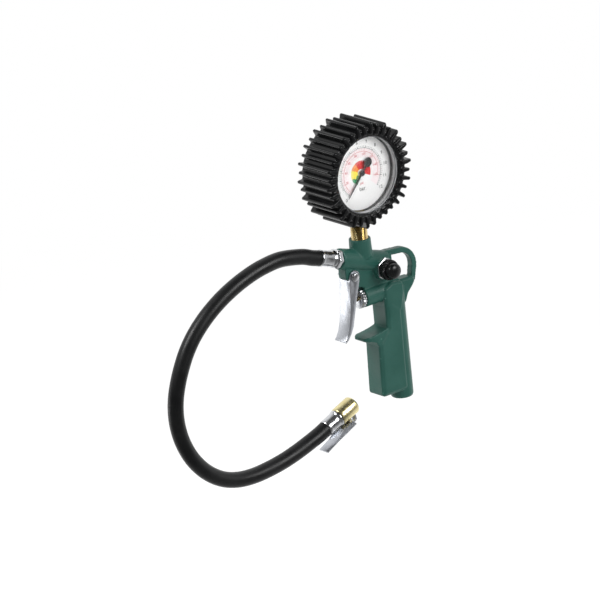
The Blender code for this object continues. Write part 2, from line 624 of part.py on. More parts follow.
def make_movement(gauge):
    """Two plates on three pillars hold the sector and the pinion; the tube's tip pulls the sector's tail."""
    back_low, back_high = -1.2, 0.0
    front_low, front_high = 6.6, 7.6
    movement_plate("movement_back_plate", back_low, back_high, gauge)
    deck = movement_plate("movement_front_plate", front_low, front_high, gauge)
    for i, place in enumerate(dial_screw_places()):
        cut(deck, put(rod(f"front_screw_hole_{i + 1}", 0.9, 5.0, 9.0, sides=12), gauge, place))
    for i, (x, y) in enumerate(((-9.6, -17.7), (9.6, -17.7), (0.0, 8.0))):
        put(rod(f"movement_pillar_{i + 1}", 1.2, back_high + GAP, front_low - GAP, BRASS, 14), gauge, (x, y, 0.0))
    tail_x, tail_y = SECTOR_TAIL
    pivot = (0.0, SECTOR_PIVOT_Y, 0.0)
    outline = arc(0.0, 0.0, SECTOR_R, 60.0, 94.0, 8) + [(-1.6, 2.0), (-2.0, 0.0), (-2.0, -1.8),
                                                        (6.6, -3.2), (6.6, -1.2), (2.0, 0.0), (1.6, 2.0)]
    sector = put(plate("sector_gear", outline, 1.6, 3.0, BRASS, across="Z"), gauge, pivot)
    fuse(sector, put(rod("sector_arbor", 0.7, -1.1, 7.5, sides=12), gauge, pivot))
    cut(sector, put(rod("sector_tail_hole", 0.75, 0.0, 5.0, sides=10), gauge, (tail_x, SECTOR_PIVOT_Y + tail_y, 0.0)))


def make_bourdon(gauge):
    """A flat tube bent to three quarters of a circle, its fixed end in the socket and its free end closed."""
    steps = 30
    start, end = BOURDON_ENDS
    bm = bmesh.new()
    rings = []
    for i in range(steps + 1):
        angle = math.radians(start + (end - start) * i / steps)
        out = Vector((math.cos(angle), math.sin(angle), 0.0))
        section = [(-0.9, -3.2), (0.9, -3.2), (1.3, 0.0), (0.9, 3.2), (-0.9, 3.2), (-1.3, 0.0)]
        rings.append([bm.verts.new((out * (BOURDON_R + r) + Vector((0, 0, h + 1.0))) * MM) for r, h in section])
    for low, high in zip(rings, rings[1:]):
        for j in range(len(low)):
            k = (j + 1) % len(low)
            bm.faces.new((low[j], low[k], high[k], high[j]))
    bm.faces.new(rings[0])
    bm.faces.new(rings[-1])
    put(new_object("bourdon_tube", bm, BRASS), gauge)
    x = BOURDON_R * math.cos(math.radians(end))
    y = BOURDON_R * math.sin(math.radians(end))
    tip = [(x + 1.6, y - 0.5), (x + 1.4, y - 6.0), (x - 3.6, y - 6.0), (x - 3.6, y - 3.4), (x - 1.8, y - 2.2),
           (x - 1.8, y - 0.5)]
    put(plate("bourdon_tip", tip, -1.0, 3.0, BRASS, across="Z"), gauge)


def make_link(gauge):
    """Thin strip from the tube's tip to the sector's tail."""
    place = (SECTOR_TAIL[0], SECTOR_PIVOT_Y + SECTOR_TAIL[1], 0.0)
    strip = [(16.6, 8.4), (15.6, 10.0), (-1.2, 0.9), (-1.2, -0.9), (0.4, -1.1)]
    link = put(plate("tip_link", strip, 3.4, 4.0, BRASS, across="Z"), gauge, place)
    fuse(link, put(rod("link_pin", 0.45, 1.2, 3.8, sides=10), gauge, place))


def make_socket(gun, gauge):
    """Brass stem screwed into the neck, with a block inside the case that carries the tube and movement."""
    top = GAUGE_Z - BOURDON_R + 3.0
    low = -THREAD_BORE_DEPTH + GAP
    profile = [(0.0, low), (THREAD_R - 0.7, low), (THREAD_R, low + 0.7), (THREAD_R, THREAD_LENGTH),
               (SHANK_R, THREAD_LENGTH + 0.6), (SHANK_R, top - 4.5), (0.0, top - 4.5)]
    socket = put(turned("gauge_socket", profile, BRASS, 24), gun)
    block = [(-6.5, -29.4), (6.5, -29.4), (6.5, -20.4), (-6.5, -20.4)]
    shelf = [(-5.0, -24.0), (5.0, -24.0), (5.0, -12.4), (-5.0, -12.4)]
    fuse(socket, put(plate("socket_block", block, -5.0, 5.0, across="Z"), gauge),
         put(plate("socket_shelf", shelf, -4.6, -1.5, across="Z"), gauge))
    x = BOURDON_R * math.cos(math.radians(BOURDON_ENDS[0]))
    y = BOURDON_R * math.sin(math.radians(BOURDON_ENDS[0]))
    slot = [(x + 3.4, y - 2.6), (-9.0, y - 2.6), (-9.0, y + 3.6), (x + 0.35, y + 3.6)]
    cut(socket, put(plate("tube_slot", slot, -2.6, 4.6, across="Z"), gauge),
        put(rod("socket_bore", 2.0, low - 1.0, GAUGE_Z - 26.0, sides=14), gun))


# Hose, outlet and chuck

def make_outlet(upper):
    """Threaded collar with a barb, and the crimped ferrule; local +Z points along the hose."""
    start = GAP
    collar = [(BARB_BORE_R, -13.0), (BARB_R + 0.9, -13.0), (BARB_R + 0.9, start), (OUTLET_COLLAR_R, start),
              (OUTLET_COLLAR_R, start + 1.4), (OUTLET_COLLAR_R - 0.5, start + 2.0),
              (OUTLET_COLLAR_R - 0.5, OUTLET_COLLAR - 1.6), (FERRULE_BASE_R, OUTLET_COLLAR),
              (BARB_R, OUTLET_COLLAR), (BARB_R, OUTLET_COLLAR + OUTLET_FERRULE - 1.0),
              (BARB_BORE_R, OUTLET_COLLAR + OUTLET_FERRULE - 1.0)]
    put(turned("outlet_fitting", collar, ZINC, 24, closed=True), upper)
    low = OUTLET_COLLAR + GAP
    high = OUTLET_COLLAR + OUTLET_FERRULE
    put(turned("outlet_ferrule", ferrule_profile(low, high), ZINC, 24, closed=True), upper)


def ferrule_profile(low, high):
    """A crimped sleeve, wider at its base; its lip holds the hose, which ends face to face with it."""
    inner = BARB_R + GAP
    return [(inner, low), (FERRULE_BASE_R, low), (FERRULE_BASE_R, low + 1.6), (FERRULE_R, low + 3.2),
            (FERRULE_R, high - 2.6), (FERRULE_R + 0.15, high - 1.2), (FERRULE_R - 0.1, high), (inner, high)]


def make_hose(gun):
    tilt = math.radians(UPPER_TILT)
    along = OUTLET_COLLAR + OUTLET_FERRULE + GAP
    start = (UPPER_FRONT[0] - along * math.cos(tilt), UPPER_FRONT[1] + along * math.sin(tilt))
    lead = (start[0] - 6.0 * math.cos(tilt), start[1] + 6.0 * math.sin(tilt))
    tilt = math.radians(CHUCK_TILT)
    end = (CHUCK_JOINT[0] - GAP * math.cos(tilt), CHUCK_JOINT[1] - GAP * math.sin(tilt))
    tail = (end[0] - 6.0 * math.cos(tilt), end[1] - 6.0 * math.sin(tilt))
    route = [(x, 0.0, z) for x, z in [start, lead] + HOSE_ROUTE + [tail, end]]
    put(wire("hose", smooth_path(route, 7.5), HOSE_R, BLACK, resolution=3), gun)


def make_chuck(chuck):
    """Ferrule, brass body, seal, depressor and thumb lever; local +Z points to the mouth, +X to the lever."""
    start = CHUCK_FERRULE + GAP
    mouth = start + CHUCK_LENGTH
    seal_low = mouth - 12.0
    put(turned("chuck_ferrule", [(r, CHUCK_FERRULE - h) for r, h in ferrule_profile(0.0, CHUCK_FERRULE)], ZINC, 24,
               closed=True), chuck)
    outside = [(CHUCK_R - 0.6, start), (CHUCK_R, start + 0.7), (CHUCK_R, mouth - 1.6), (CHUCK_R - 1.5, mouth)]
    inside = [(CHUCK_MOUTH_R + 0.4, mouth), (CHUCK_MOUTH_R, mouth - 0.6), (CHUCK_MOUTH_R, seal_low),
              (BARB_R + 0.9, seal_low), (BARB_R + 0.9, start)]
    body = put(turned("chuck_body", outside + inside, BRASS, 24, closed=True), chuck)
    pin_z, pin_x = LEVER_PIN
    ear = [(CHUCK_R - 1.4, pin_z - 4.2), (pin_x + 0.6, pin_z - 1.9), (pin_x + 1.8, pin_z), (pin_x + 0.6, pin_z + 1.9),
           (CHUCK_R - 1.4, pin_z + 3.0)]
    fuse(body, put(plate("chuck_ear", ear, -1.8, 1.8), chuck))
    slot = [(CHUCK_MOUTH_R - 0.6, mouth - 6.4), (CHUCK_R + 2.0, mouth - 6.4), (CHUCK_R + 2.0, mouth - 2.2),
            (CHUCK_MOUTH_R - 0.6, mouth - 2.2)]
    pin_turn = (90.0, 0.0, 0.0)
    pin_at = (pin_x, 0.0, pin_z)
    cut(body, put(plate("jaw_slot", slot, -2.6, 2.6), chuck),
        put(rod("ear_hole", 1.15 + GAP, -4.0, 4.0, sides=14), chuck, pin_at, pin_turn))
    put(ring("chuck_seal", 1.5, CHUCK_MOUTH_R - GAP, seal_low + GAP, seal_low + 3.0, RED_RUBBER, 24), chuck)
    put(turned("chuck_depressor", [(0.0, seal_low + 5.4), (1.0, seal_low + 5.4), (1.0, seal_low - 2.0),
                                   (1.8, seal_low - 2.0), (1.8, seal_low - 3.0), (0.0, seal_low - 3.0)],
               BRASS, 16), chuck)
    barb_end = seal_low - 3.6
    barb = [(BARB_BORE_R, 1.0), (BARB_R, 1.0), (BARB_R, start - 0.2), (BARB_R + 0.6, start + 0.1),
            (BARB_R + 0.6, barb_end), (BARB_BORE_R, barb_end)]
    put(turned("chuck_hose_barb", barb, BRASS, 20, closed=True), chuck)
    make_lever(chuck, mouth)


def make_lever(chuck, mouth):
    """Thumb lever on a pin under the chuck; its hooked front bites the tyre valve through the body's slot."""
    pin_z, pin_x = LEVER_PIN
    hinge = frame("lever_hinge", pin_x, pin_z, parent=chuck)
    sheet = LEVER_SHEET
    top = [(-3.6, mouth - 5.0 - pin_z), (-1.0, mouth - 5.3 - pin_z), (1.3, mouth - 6.2 - pin_z),
           (1.9, 0.0), (2.5, -8.0), (2.6, -16.0), (3.9, -30.0)]
    under = [(x + sheet, z) for x, z in reversed(top[2:])]
    outline = top + under + [(1.6, mouth - 4.2 - pin_z), (-1.0, mouth - 3.9 - pin_z), (-3.6, mouth - 3.6 - pin_z)]
    narrow = 2.2
    lever = put(plate("chuck_lever", outline, -narrow, narrow, ZINC), hinge)
    wide = [(1.9, 3.4), (2.2, -4.0), (2.5, -8.0), (2.6, -16.0), (3.9, -30.0), (3.9 + sheet, -30.0),
            (2.6 + sheet, -16.0), (2.5 + sheet, -8.0), (2.2 + sheet, -4.0), (1.9 + sheet, 3.4)]
    ear = [(-1.9, -1.2), (-1.9, 1.2), (-0.8, 2.2), (2.4, 3.0), (2.7, -5.0)]
    fuse(lever, put(plate("lever_tail", wide, -LEVER_HALF, LEVER_HALF), hinge),
         put(plate("lever_ear_near", ear, -LEVER_HALF, -LEVER_HALF + sheet), hinge),
         put(plate("lever_ear_far", ear, LEVER_HALF - sheet, LEVER_HALF), hinge))
    across = frame("lever_across", pin_x, pin_z, axis="X", angle=90.0, parent=chuck)
    cut(lever, put(rod("lever_pin_hole", 1.15 + GAP, -7.0, 7.0, sides=14), across))
    put(rod("chuck_lever_pin", 1.15, -LEVER_HALF - 0.3, LEVER_HALF + 0.3, ZINC, 14), across)
    put(coil("chuck_lever_spring", 1.75, 0.2, 2.3, 3.5, 3, SPRING_STEEL), across)


def main():
    clear_scene()
    crown_x, crown_z = LOOP_CROWN
    gun = frame("gun", -crown_x, LOOP_BAND - LOOP_CROWN_R - crown_z)
    upper = frame("outlet_axis", *UPPER_FRONT, axis="Y", angle=UPPER_TILT - 90.0, parent=gun)
    lower = frame("valve_axis", *LOWER_FRONT, axis="Y", angle=-90.0, parent=gun)
    button = frame("deflate_axis", *DEFLATE, axis="X", angle=90.0, parent=gun)
    gauge = frame("gauge_axis", 0.0, GAUGE_Z, axis="X", angle=90.0, parent=gun)
    chuck = frame("chuck_axis", *CHUCK_JOINT, axis="Y", angle=90.0 - CHUCK_TILT, parent=gun)
    make_body(gun, upper, lower, button)
    make_trigger(gun)
    make_valve(lower)
    make_deflate_valve(button)
    make_case(gauge)
    make_dial(gauge)
    make_pointer(gauge)
    make_movement(gauge)
    make_bourdon(gauge)
    make_link(gauge)
    make_socket(gun, gauge)
    make_outlet(upper)
    make_hose(gun)
    make_chuck(chuck)


main()
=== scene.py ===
import math

import bmesh
import bpy
from mathutils import Matrix, Vector


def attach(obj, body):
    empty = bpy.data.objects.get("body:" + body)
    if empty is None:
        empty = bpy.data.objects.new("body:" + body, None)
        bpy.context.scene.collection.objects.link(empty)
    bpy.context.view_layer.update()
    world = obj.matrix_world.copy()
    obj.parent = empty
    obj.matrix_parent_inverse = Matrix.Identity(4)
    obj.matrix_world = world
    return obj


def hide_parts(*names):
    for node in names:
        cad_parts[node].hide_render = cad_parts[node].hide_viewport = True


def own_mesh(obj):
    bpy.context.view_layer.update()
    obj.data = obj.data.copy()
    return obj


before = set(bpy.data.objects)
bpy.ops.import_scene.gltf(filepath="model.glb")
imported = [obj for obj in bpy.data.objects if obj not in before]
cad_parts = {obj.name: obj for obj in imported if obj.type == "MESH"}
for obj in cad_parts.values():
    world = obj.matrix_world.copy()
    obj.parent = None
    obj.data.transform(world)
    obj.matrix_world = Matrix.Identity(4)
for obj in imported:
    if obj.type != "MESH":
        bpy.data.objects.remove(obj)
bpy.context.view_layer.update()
mm = 0.001
neckTop = Vector((-0.0346, 0.0, 0.0221))   # top of the casting's neck, where the gauge stem goes in
outletTilt = 162.0                         # degrees from +X towards +Z
chuckTilt = 22.0
sharpAngle = math.radians(35.0)            # corners sharper than this keep a hard edge
flatAngle = math.radians(1.0)              # CAD faces closer to flat than this are joined
weldReach = 2e-6                           # CAD points closer than this are one point


# Axes of the turned pieces: local Z runs along each piece

def axisFrame(x, z, along, across=(0.0, 1.0, 0.0)):
    # a matrix at a point given from the neck in millimetres, with Z along and Y across
    zAxis = Vector(along).normalized()
    yAxis = Vector(across).normalized()
    xAxis = yAxis.cross(zAxis).normalized()
    matrix = Matrix((xAxis, zAxis.cross(xAxis), zAxis)).transposed().to_4x4()
    matrix.translation = neckTop + Vector((x * mm, 0.0, z * mm))
    return matrix


def tilted(degrees):
    return (math.cos(math.radians(degrees)), 0.0, math.sin(math.radians(degrees)))


def polar(degrees):
    # the direction at an angle from X across Z, and the direction square to it
    angle = math.radians(degrees)
    out = Vector((math.cos(angle), math.sin(angle), 0.0))
    return out, Vector((-out.y, out.x, 0.0))


gaugeAxis = axisFrame(0.0, 53.6, (0, -1, 0), (0, 0, 1))       # X right and Y up on the dial
outletAxis = axisFrame(-22.4, -10.7, tilted(outletTilt))
valveAxis = axisFrame(-3.7, -47.0, (-1, 0, 0))
bleedAxis = axisFrame(15.2, -27.7, (0, -1, 0), (0, 0, 1))
chuckAxis = axisFrame(-50.5, -139.3, tilted(chuckTilt))
stemAxis = axisFrame(0.0, 0.0, (0, 0, 1))


# Camera: a long lens square to the view, turned a little about its own axis

camera = {
    "right": (0.7662, -0.6356, -0.0942),
    "up": (0.2782, 0.196, 0.9403),
    "frameWidth": 0.4544,                   # metres across the frame at the object
    "neckFromCentre": (0.04506, 0.0473),    # metres right and up
    "lens": 500.0,
    "farthest": 100.0,
}


def addCamera():
    right = Vector(camera["right"]).normalized()
    up = Vector(camera["up"]).normalized()
    back = right.cross(up).normalized()
    up = back.cross(right)
    data = bpy.data.cameras.new("camera")
    data.lens = camera["lens"]
    data.clip_end = camera["farthest"]
    distance = camera["frameWidth"] * data.lens / data.sensor_width
    across, height = camera["neckFromCentre"]
    centre = neckTop - right * across - up * height
    view = bpy.data.objects.new("camera", data)
    bpy.context.scene.collection.objects.link(view)
    matrix = Matrix((right, up, back)).transposed().to_4x4()
    matrix.translation = centre + back * distance
    view.matrix_world = matrix
    bpy.context.scene.camera = view
    return centre, right, up, back


# Mesh helpers

def placed(name, mesh, body, material, replaced=()):
    piece = bpy.data.objects.new(name, mesh)
    mesh.materials.clear()
    mesh.materials.append(material)
    bpy.context.scene.collection.objects.link(piece)
    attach(piece, body)
    if replaced:
        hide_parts(*replaced)
    return piece


def finished(name, bm, body, material, replaced=()):
    bmesh.ops.recalc_face_normals(bm, faces=bm.faces)
    mesh = bpy.data.meshes.new(name)
    bm.to_mesh(mesh)
    bm.free()
    mesh.shade_smooth()
    mesh.set_sharp_from_angle(angle=sharpAngle)
    return placed(name, mesh, body, material, replaced)


def joinRows(bm, rows, loop=True):
    # faces between neighbouring rows of points, which run right round unless loop is off
    for low, high in zip(rows, rows[1:]):
        for i in range(len(low) if loop else len(low) - 1):
            j = (i + 1) % len(low)
            bm.faces.new((low[i], low[j], high[j], high[i]))


def turnedRings(bm, profile, matrix, sides=96, shape=None, closed=False):
    # (radius, height) points in millimetres spun round Z; shape may change a radius with height and angle
    rings = []
    for radius, height in profile:
        if radius < 1e-6:
            rings.append([bm.verts.new(matrix @ Vector((0.0, 0.0, height * mm)))])
            continue
        ring = []
        for i in range(sides):
            angle = math.tau * i / sides
            r = (shape(radius, height, angle) if shape else radius) * mm
            point = Vector((r * math.cos(angle), r * math.sin(angle), height * mm))
            ring.append(bm.verts.new(matrix @ point))
        rings.append(ring)
    pairs = list(zip(rings, rings[1:]))
    if closed:
        pairs.append((rings[-1], rings[0]))
    for low, high in pairs:
        for i in range(sides):
            j = (i + 1) % sides
            corners = [low[i % len(low)], low[j % len(low)], high[j % len(high)], high[i % len(high)]]
            corners = list(dict.fromkeys(corners))
            if len(corners) > 2:
                bm.faces.new(corners)


def turnedPiece(name, profile, matrix, body, material, node, sides=96, shape=None, closed=False):
    bm = bmesh.new()
    turnedRings(bm, profile, matrix, sides, shape, closed)
    return finished(name, bm, body, material, (node,))


def cadCopy(node):
    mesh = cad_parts[node].data.copy()
    bm = bmesh.new()
    bm.from_mesh(mesh)
    bmesh.ops.remove_doubles(bm, verts=bm.verts, dist=weldReach)
    return mesh, bm


def applied(piece):
    # the piece's mesh with its modifiers worked in
    bpy.context.view_layer.update()
    result = bpy.data.meshes.new_from_object(piece.evaluated_get(bpy.context.evaluated_depsgraph_get()))
    piece.modifiers.clear()
    piece.data = result


def softened(name, node, body, material, edge):
    # the CAD shape with its flats joined and its edges rounded; edge is a width, a count and a least angle
    mesh, bm = cadCopy(node)
    bmesh.ops.dissolve_limit(bm, angle_limit=flatAngle, verts=bm.verts, edges=bm.edges)
    bm.to_mesh(mesh)
    bm.free()
    mesh.shade_smooth()
    piece = placed(name, mesh, body, material, (node,))
    width, segments, angle = edge
    bevel = piece.modifiers.new("edges", "BEVEL")
    bevel.width = width * mm
    bevel.segments = segments
    bevel.limit_method = "ANGLE"
    bevel.angle_limit = math.radians(angle)
    bevel.harden_normals = True
    return piece


def cast(name, node, body, material, settings):
    # the CAD shape with every edge and corner blended, as in a casting or a moulding
    mesh, bm = cadCopy(node)
    bm.to_mesh(mesh)
    bm.free()
    piece = placed(name, mesh, body, material, (node,))
    remesh = piece.modifiers.new("skin", "REMESH")
    remesh.mode = "VOXEL"
    remesh.voxel_size = settings["voxel"] * mm
    blur = piece.modifiers.new("blend", "SMOOTH")
    blur.factor = 0.5
    blur.iterations = settings["passes"]
    applied(piece)
    piece.data.shade_smooth()
    piece.data.materials.clear()
    piece.data.materials.append(material)
    return piece


# Shader nodes

def feed(tree, socket, value):
    # a socket takes a link or a plain value
    if isinstance(value, bpy.types.NodeSocket):
        tree.links.new(value, socket)
    elif value is not None:
        socket.default_value = value


def mathNode(tree, operation, first, second):
    node = tree.nodes.new("ShaderNodeMath")
    node.operation = operation
    feed(tree, node.inputs[0], first)
    feed(tree, node.inputs[1], second)
    return node.outputs["Value"]


def vectorNode(tree, operation, first, second=None):
    node = tree.nodes.new("ShaderNodeVectorMath")
    node.operation = operation
    feed(tree, node.inputs[0], first)
    feed(tree, node.inputs[1], second)
    return node.outputs


def noiseNode(tree, vector, scale, detail, roughness):
    node = tree.nodes.new("ShaderNodeTexNoise")
    for label, value in (("Vector", vector), ("Scale", scale), ("Detail", detail), ("Roughness", roughness)):
        feed(tree, node.inputs[label], value)
    return node.outputs["Fac"]


def rangeNode(tree, source, low, high, toLow=0.0, toHigh=1.0):
    node = tree.nodes.new("ShaderNodeMapRange")
    for label, value in (("Value", source), ("From Min", low), ("From Max", high), ("To Min", toLow),
                         ("To Max", toHigh)):
        feed(tree, node.inputs[label], value)
    return node.outputs["Result"]


def mixColour(tree, factor, first, second):
    mix = tree.nodes.new("ShaderNodeMix")
    mix.data_type = "RGBA"
    feed(tree, mix.inputs["Factor"], factor)
    for label, colour in (("A", first), ("B", second)):
        feed(tree, mix.inputs[label], (*colour, 1.0) if isinstance(colour, tuple) else colour)
    return mix.outputs["Result"]


def placeNode(tree, label="Object"):
    return tree.nodes.new("ShaderNodeTexCoord").outputs[label]


# Shader effects that several finishes share

def newGroup(name, inputs, outputs):
    tree = bpy.data.node_groups.new(name, "ShaderNodeTree")
    for label, value in inputs.items():
        kind = "NodeSocketVector" if isinstance(value, tuple) else "NodeSocketFloat"
        tree.interface.new_socket(label, in_out="INPUT", socket_type=kind).default_value = value
    for label in outputs:
        tree.interface.new_socket(label, in_out="OUTPUT", socket_type="NodeSocketFloat")
    return tree, tree.nodes.new("NodeGroupInput").outputs, tree.nodes.new("NodeGroupOutput").inputs


grainEffect = {"grainDetail": 3.0, "mottleDetail": 4.0, "breakup": 0.55, "from": 0.34, "to": 0.66}
brushEffect = {"detail": 5.0, "breakup": 0.7, "from": 0.35, "to": 0.65}
edgeToneEffect = {"detail": 5.0, "breakup": 0.65, "from": 0.38, "to": 0.62}


def makeGrainGroup():
    # fine grain for a bump, and a slow mottling for colour and roughness
    tree, given, out = newGroup("surfaceGrain", {"Grain Scale": 1500.0, "Mottle Scale": 90.0},
                                ("Height", "Mottle"))
    place = placeNode(tree)
    breakup = grainEffect["breakup"]
    grain = noiseNode(tree, place, given["Grain Scale"], grainEffect["grainDetail"], breakup)
    mottle = noiseNode(tree, place, given["Mottle Scale"], grainEffect["mottleDetail"], breakup)
    feed(tree, out["Height"], grain)
    feed(tree, out["Mottle"], rangeNode(tree, mottle, grainEffect["from"], grainEffect["to"]))
    return tree


def makeBrushGroup():
    # streaks drawn out along one direction, as polishing and turning leave them
    tree, given, out = newGroup("brushedStreaks", {"Stretch": (1.0, 1.0, 1.0), "Scale": 900.0},
                                ("Height", "Streak"))
    drawn = vectorNode(tree, "MULTIPLY", placeNode(tree), given["Stretch"])["Vector"]
    streaks = noiseNode(tree, drawn, given["Scale"], brushEffect["detail"], brushEffect["breakup"])
    feed(tree, out["Height"], streaks)
    feed(tree, out["Streak"], rangeNode(tree, streaks, brushEffect["from"], brushEffect["to"]))
    return tree


def makeEdgeToneGroup():
    # sharp outer edges as a mask, broken up by noise; the materials give them a lighter colour
    tree, given, out = newGroup("lighterEdges", {"Start": 0.53, "End": 0.62, "Break Scale": 220.0}, ("Mask",))
    surface = tree.nodes.new("ShaderNodeNewGeometry")
    edge = rangeNode(tree, surface.outputs["Pointiness"], given["Start"], given["End"])
    noise = noiseNode(tree, placeNode(tree), given["Break Scale"], edgeToneEffect["detail"], edgeToneEffect["breakup"])
    broken = rangeNode(tree, noise, edgeToneEffect["from"], edgeToneEffect["to"])
    feed(tree, out["Mask"], mathNode(tree, "MULTIPLY", edge, broken))
    return tree


grainGroup = makeGrainGroup()
brushGroup = makeBrushGroup()
edgeToneGroup = makeEdgeToneGroup()
tarnishScale = 160.0


def groupNode(tree, group, **values):
    node = tree.nodes.new("ShaderNodeGroup")
    node.node_tree = group
    for label, value in values.items():
        node.inputs[label.replace("_", " ")].default_value = value
    return node.outputs


def newMaterial(name, settings):
    material = bpy.data.materials.new(name)
    material.use_nodes = True
    shader = material.node_tree.nodes["Principled BSDF"].inputs
    shader["Base Color"].default_value = (*settings["colour"], 1.0)
    shader["Roughness"].default_value = settings["roughness"]
    shader["Metallic"].default_value = settings.get("metallic", 0.0)
    shader["Specular IOR Level"].default_value = settings.get("specular", 0.5)
    return material, material.node_tree, shader


def spreadRoughness(tree, shader, mask, settings):
    middle, spread = settings["roughness"], settings["roughnessSpread"]
    feed(tree, shader["Roughness"], rangeNode(tree, mask, 0.0, 1.0, middle - spread, middle + spread))


def addBump(tree, shader, height, strength, distance, before=None):
    bump = tree.nodes.new("ShaderNodeBump")
    for label, value in (("Strength", strength), ("Distance", distance), ("Height", height),
                         ("Normal", before)):
        feed(tree, bump.inputs[label], value)
    feed(tree, shader["Normal"], bump.outputs["Normal"])
    return bump.outputs["Normal"]


def moulded(name, settings):
    # paint, rubber or plastic: mottled colour and roughness, fine grain and lighter sharp edges
    material, tree, shader = newMaterial(name, settings)
    grain = groupNode(tree, grainGroup, Grain_Scale=settings["grainScale"],
                      Mottle_Scale=settings["mottleScale"])
    edgeMask = groupNode(tree, edgeToneGroup, Start=settings["edgeStart"], End=settings["edgeEnd"])
    colour = mixColour(tree, grain["Mottle"], settings["colour"], settings["mottled"])
    # sharp outer edges take the lighter edge colour
    feed(tree, shader["Base Color"], mixColour(tree, edgeMask["Mask"], colour, settings["edgeTone"]))
    spreadRoughness(tree, shader, grain["Mottle"], settings)
    addBump(tree, shader, grain["Height"], settings["bump"], settings["bumpDepth"])
    return material


def metal(name, settings):
    # machined or plated metal: streaks in roughness and bump, a slow tarnish in colour
    material, tree, shader = newMaterial(name, settings)
    brush = groupNode(tree, brushGroup, Stretch=settings["stretch"], Scale=settings["streakScale"])
    grain = groupNode(tree, grainGroup, Mottle_Scale=tarnishScale)
    colour = mixColour(tree, grain["Mottle"], settings["colour"], settings["tarnish"])
    feed(tree, shader["Base Color"], colour)
    spreadRoughness(tree, shader, brush["Streak"], settings)
    addBump(tree, shader, brush["Height"], settings["bump"], settings["bumpDepth"])
    return material


# Stage and light

stage = {
    "floorHeight": -0.55,
    "floorSize": 9.0,
    "colour": (0.86, 0.86, 0.86),
    "roughness": 0.9,
    "glow": 0.34,
    "dim": (0.10, 0.10, 0.10),     # the floor's near side, as gloss sees it
    "nearFrom": -0.45,
    "nearTo": 0.35,
    "fadeStart": 0.9,              # metres out, where the floor begins to turn white
    "fadeEnd": 1.8,
    "grainScale": 300.0,
    "mottleScale": 3.0,
    "bump": 0.05,
    "bumpDepth": 0.0002,
}
room = {
    "skyLight": 0.55,
    "shade": 0.07,                 # what gloss sees on the side away from the backdrop
    "shadeFrom": -0.35,
    "shadeTo": 0.35,
}
lamps = {
    "keyLamp": {"from": (-1.5, 1.3, 1.2), "size": 1.0, "power": 38.0},
    "edgeLamp": {"from": (-1.5, -0.5, -0.55), "size": 0.5, "power": 3.0},
    "sideLamp": {"from": (1.6, 0.7, 1.2), "size": 0.9, "power": 25.0},
}


def roomStrength(tree, toward):
    # gloss sees the pale backdrop behind the object and above it, and a dim room on the near side
    facing = vectorNode(tree, "DOT_PRODUCT", placeNode(tree, "Generated"), toward)["Value"]
    shade = rangeNode(tree, facing, room["shadeFrom"], room["shadeTo"], 1.0, room["shade"])
    path = tree.nodes.new("ShaderNodeLightPath").outputs
    strength = room["skyLight"]
    for label, seen in (("Is Glossy Ray", shade), ("Is Transmission Ray", 1.0), ("Is Camera Ray", 1.0)):
        choice = tree.nodes.new("ShaderNodeMix")
        for socket, value in (("Factor", path[label]), ("A", strength), ("B", seen)):
            feed(tree, choice.inputs[socket], value)
        strength = choice.outputs["Result"]
    return strength


def nearSide(tree, toward):
    # 1 on the part of the floor that lies on the room's near side
    facing = vectorNode(tree, "DOT_PRODUCT", placeNode(tree), (toward.x, toward.y, 0.0))["Value"]
    return rangeNode(tree, facing, stage["nearFrom"], stage["nearTo"])


def floorPaint(toward):
    # painted near the object and plain white farther out, where no shadow reaches
    material, tree, shader = newMaterial("floorPaint", stage)
    path = tree.nodes.new("ShaderNodeLightPath").outputs
    dim = mathNode(tree, "MULTIPLY", path["Is Glossy Ray"], nearSide(tree, toward))
    pale = mathNode(tree, "SUBTRACT", path["Is Glossy Ray"], dim)
    for label in ("Is Camera Ray", "Is Transmission Ray"):
        pale = mathNode(tree, "MAXIMUM", pale, path[label])    # seen directly, in glass or in gloss
    feed(tree, shader["Base Color"], mixColour(tree, dim, stage["colour"], stage["dim"]))
    shader["Emission Color"].default_value = (1.0, 1.0, 1.0, 1.0)
    feed(tree, shader["Emission Strength"], mathNode(tree, "MULTIPLY", pale, stage["glow"]))
    grain = groupNode(tree, grainGroup, Grain_Scale=stage["grainScale"], Mottle_Scale=stage["mottleScale"])
    addBump(tree, shader, grain["Height"], stage["bump"], stage["bumpDepth"])
    reach = vectorNode(tree, "LENGTH", placeNode(tree))["Value"]
    fade = rangeNode(tree, reach, stage["fadeStart"], stage["fadeEnd"])
    white = tree.nodes.new("ShaderNodeEmission")
    joined = tree.nodes.new("ShaderNodeMixShader")
    feed(tree, joined.inputs["Fac"], mathNode(tree, "MULTIPLY", fade, pale))
    feed(tree, joined.inputs[1], tree.nodes["Principled BSDF"].outputs["BSDF"])
    feed(tree, joined.inputs[2], white.outputs["Emission"])
    feed(tree, tree.nodes["Material Output"].inputs["Surface"], joined.outputs["Shader"])
    return material


def addStage(toward):
    world = bpy.data.worlds.new("paleRoom")
    world.use_nodes = True
    sky = world.node_tree.nodes["Background"].inputs
    sky["Color"].default_value = (1.0, 1.0, 1.0, 1.0)
    feed(world.node_tree, sky["Strength"], roomStrength(world.node_tree, toward))
    bpy.context.scene.world = world
    bm = bmesh.new()
    half, height = stage["floorSize"] / 2, stage["floorHeight"]
    corners = ((-half, -half), (half, -half), (half, half), (-half, half))
    bm.faces.new([bm.verts.new((x, y, height)) for x, y in corners])
    mesh = bpy.data.meshes.new("floor")
    bm.to_mesh(mesh)
    bm.free()
    mesh.materials.append(floorPaint(toward))
    floor = bpy.data.objects.new("floor", mesh)
    bpy.context.scene.collection.objects.link(floor)


